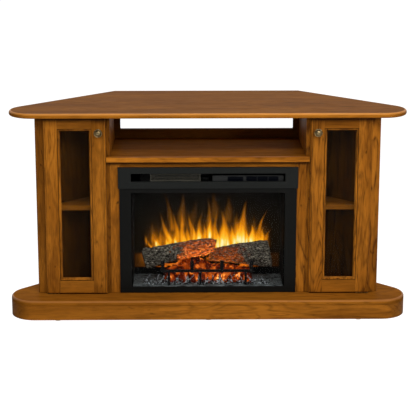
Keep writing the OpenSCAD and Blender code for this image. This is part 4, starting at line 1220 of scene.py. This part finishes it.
def emberBed(settings):
    # the bed rises steeply, then gently, to the back, with a higher heap behind the left log; ridged noise
    # breaks it into coals, and the cracks between coals burn the brightest
    low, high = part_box("ember_bed")
    across, back = (np.linspace(0, 1, settings[k]) for k in ("columns", "rows"))
    u, v = np.meshgrid(across, back, indexing="ij")
    x, y = low.x + (high.x - low.x) * u, low.y + (high.y - low.y) * v
    heapFrom, heapTo = settings["heap"]
    heap = np.sin(math.pi * np.clip((x * 1000 - heapFrom) / (heapTo - heapFrom), 0, 1))
    side = np.clip(np.sin(math.pi * u), 0, 1) ** 0.25
    body = settings["rise"] * side * v ** 0.4 + settings["heapHeight"] * heap * v * v
    spread, fanMiddle = settings["fan"]
    fan = x + spread * (x - fanMiddle) * (0.5 - v)
    warpSize, warpCells = settings["warp"]
    warp = warpSize * (flatNoise(x * warpCells, y * warpCells, 61, 2) - 0.5)

    def bedNoise(name, along, shift=0, backShift=0):
        fine, deep, rise, seed, octaves = settings["noises"][name]
        return flatNoise(along * fine + shift, y * deep + body / rise + backShift, seed, octaves)

    ridge = 1 - np.abs(2 * bedNoise("coals", fan, warp, warp) - 1)  # 1 along the cracks
    grainy = bedNoise("grains", fan)
    hot = smoothStep(0.46, 0.70, bedNoise("patches", x))
    twig = bedNoise("twigs", fan, warp)
    twig = smoothStep(0.76, 0.93, 1 - np.abs(2 * twig - 1))  # dark branches across the coals
    edge = np.minimum(u, 1 - u)
    rim = np.minimum(1, 6 * edge) * np.minimum(1, 5 * v)
    relief = settings["coalDepth"] * (0.5 - ridge) + settings["grainDepth"] * (grainy - 0.5)
    z = low.z + 0.002 + body / 1000 + rim * (relief + settings["twigHeight"] * twig)
    cracks = smoothStep(0.30, 0.95, ridge) * (0.35 + 0.65 * smoothStep(0.30, 0.62, grainy))
    patches = hot * smoothStep(0.40, 0.72, grainy)
    heat = settings["coldHeat"] + settings["crackHeat"] * cracks + settings["patchHeat"] * patches
    heat = heat * (1 - settings["twigShade"] * twig)
    heat = heat * smoothStep(0.0, 0.10, edge + 0.05 * (grainy - 0.5))
    heat = heat * (settings["front"] - settings["backLoss"] * smoothStep(0.03, 0.5, v))
    heat = heat * (0.25 + 0.75 * smoothStep(6, 15, body))  # the foot of the bed is dark
    colour = np.array(settings["ember"]) * heat.reshape(-1, 1) ** np.array(settings["powers"])
    return raisedPlate("ember_bed", "emberCoals", x, y, z, low.z, finishes["ember_resin"], colour)


ashSettings = {
    "pitch": 0.0024,
    "below": 0.004,  # how far under the top of its solid the ash starts
    "strands": 0.005,
    "strandCells": (150, 60),  # per metre, across and to the back
    "crumbs": 0.0026,
    "crumbCells": 420,
}


def ashTray(settings):
    # flat fibrous ash: a noise drawn out in short strands, with crumbs of a finer noise on it
    low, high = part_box("ash_mat")
    xs = np.linspace(low.x, high.x, int((high.x - low.x) / settings["pitch"]))
    ys = np.linspace(low.y, high.y, int((high.y - low.y) / settings["pitch"]))
    x, y = np.meshgrid(xs, ys, indexing="ij")
    strandCells, crumbCells = settings["strandCells"], settings["crumbCells"]
    strands = flatNoise(x * strandCells[0], y * strandCells[1], 41, 3)
    crumbs = flatNoise(x * crumbCells, y * crumbCells, 43, 2)
    z = high.z - settings["below"] + settings["strands"] * strands + settings["crumbs"] * crumbs
    return raisedPlate("ash_mat", "ashFibres", x, y, z, low.z, finishes["ash_fibre"])


charcoalSettings = {
    "count": 74,
    "seed": 7,
    "rings": 10,
    "sides": 8,
    "foot": 0.098,  # height of every foot
    "inset": 0.003,
    "shortest": 0.012,
    "taller": 0.030,
    "lean": 0.030,
    "bow": 0.004,  # to the front and back
    "curl": (0.003, 0.006),  # least, and up to how much more
    "thick": (0.0034, 0.0022),
    "flat": (0.45, 0.35),
    "taper": 0.66,
    "lumps": 0.22,
}


def charcoalTwigs(settings):
    # bent flat tubes: each ring's radius falls along the piece while its oval turns, and its middle leans
    # and curls with the height
    low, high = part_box("charcoal_row")
    draw = np.random.default_rng(settings["seed"])
    count, rings, sides, inset = (settings[k] for k in ("count", "rings", "sides", "inset"))

    def drawn(least, more):
        return least + more * draw.random()

    allPoints, allFaces = [], []
    s = np.linspace(0, 1, rings)
    angle = np.linspace(0, 2 * math.pi, sides, endpoint=False)
    for k in range(count):
        footX = low.x + (high.x - low.x) * drawn(k, 0.7) / count
        footY = drawn(low.y + inset, high.y - low.y - 2 * inset)
        tall = settings["shortest"] + settings["taller"] * draw.random() ** 1.6
        lean = settings["lean"] * drawn(-0.5, 1)
        curl = drawn(*settings["curl"])
        midX = footX + lean * s ** 1.4 + curl * np.sin(s * 5 + k)
        midY = footY + settings["bow"] * np.sin(s * 4 + 2 * k)
        midZ = settings["foot"] + tall * s
        thick = drawn(*settings["thick"]) * (1 - settings["taper"] * s ** 1.5)
        thick = thick * (1 + settings["lumps"] * np.sin(s * 11 + k))
        turn = 3.0 * s + k
        across = thick[:, None] * np.cos(angle)
        through = drawn(*settings["flat"]) * thick[:, None] * np.sin(angle)
        x = midX[:, None] + across * np.cos(turn)[:, None] - through * np.sin(turn)[:, None]
        y = midY[:, None] + across * np.sin(turn)[:, None] + through * np.cos(turn)[:, None]
        z = np.broadcast_to(midZ[:, None], x.shape)
        allFaces += tubeFaces(rings, sides, start=k * rings * sides)
        allPoints.append(np.stack([x, y, z], -1).reshape(-1, 3))
    piece = meshPiece("charcoalTwigs", np.concatenate(allPoints), allFaces)
    outward(piece)
    return standIn(piece, "charcoal_row", finishes["charcoal_resin"])


emberBed(emberSettings)
ashTray(ashSettings)
charcoalTwigs(charcoalSettings)
print("fuel bed laid")
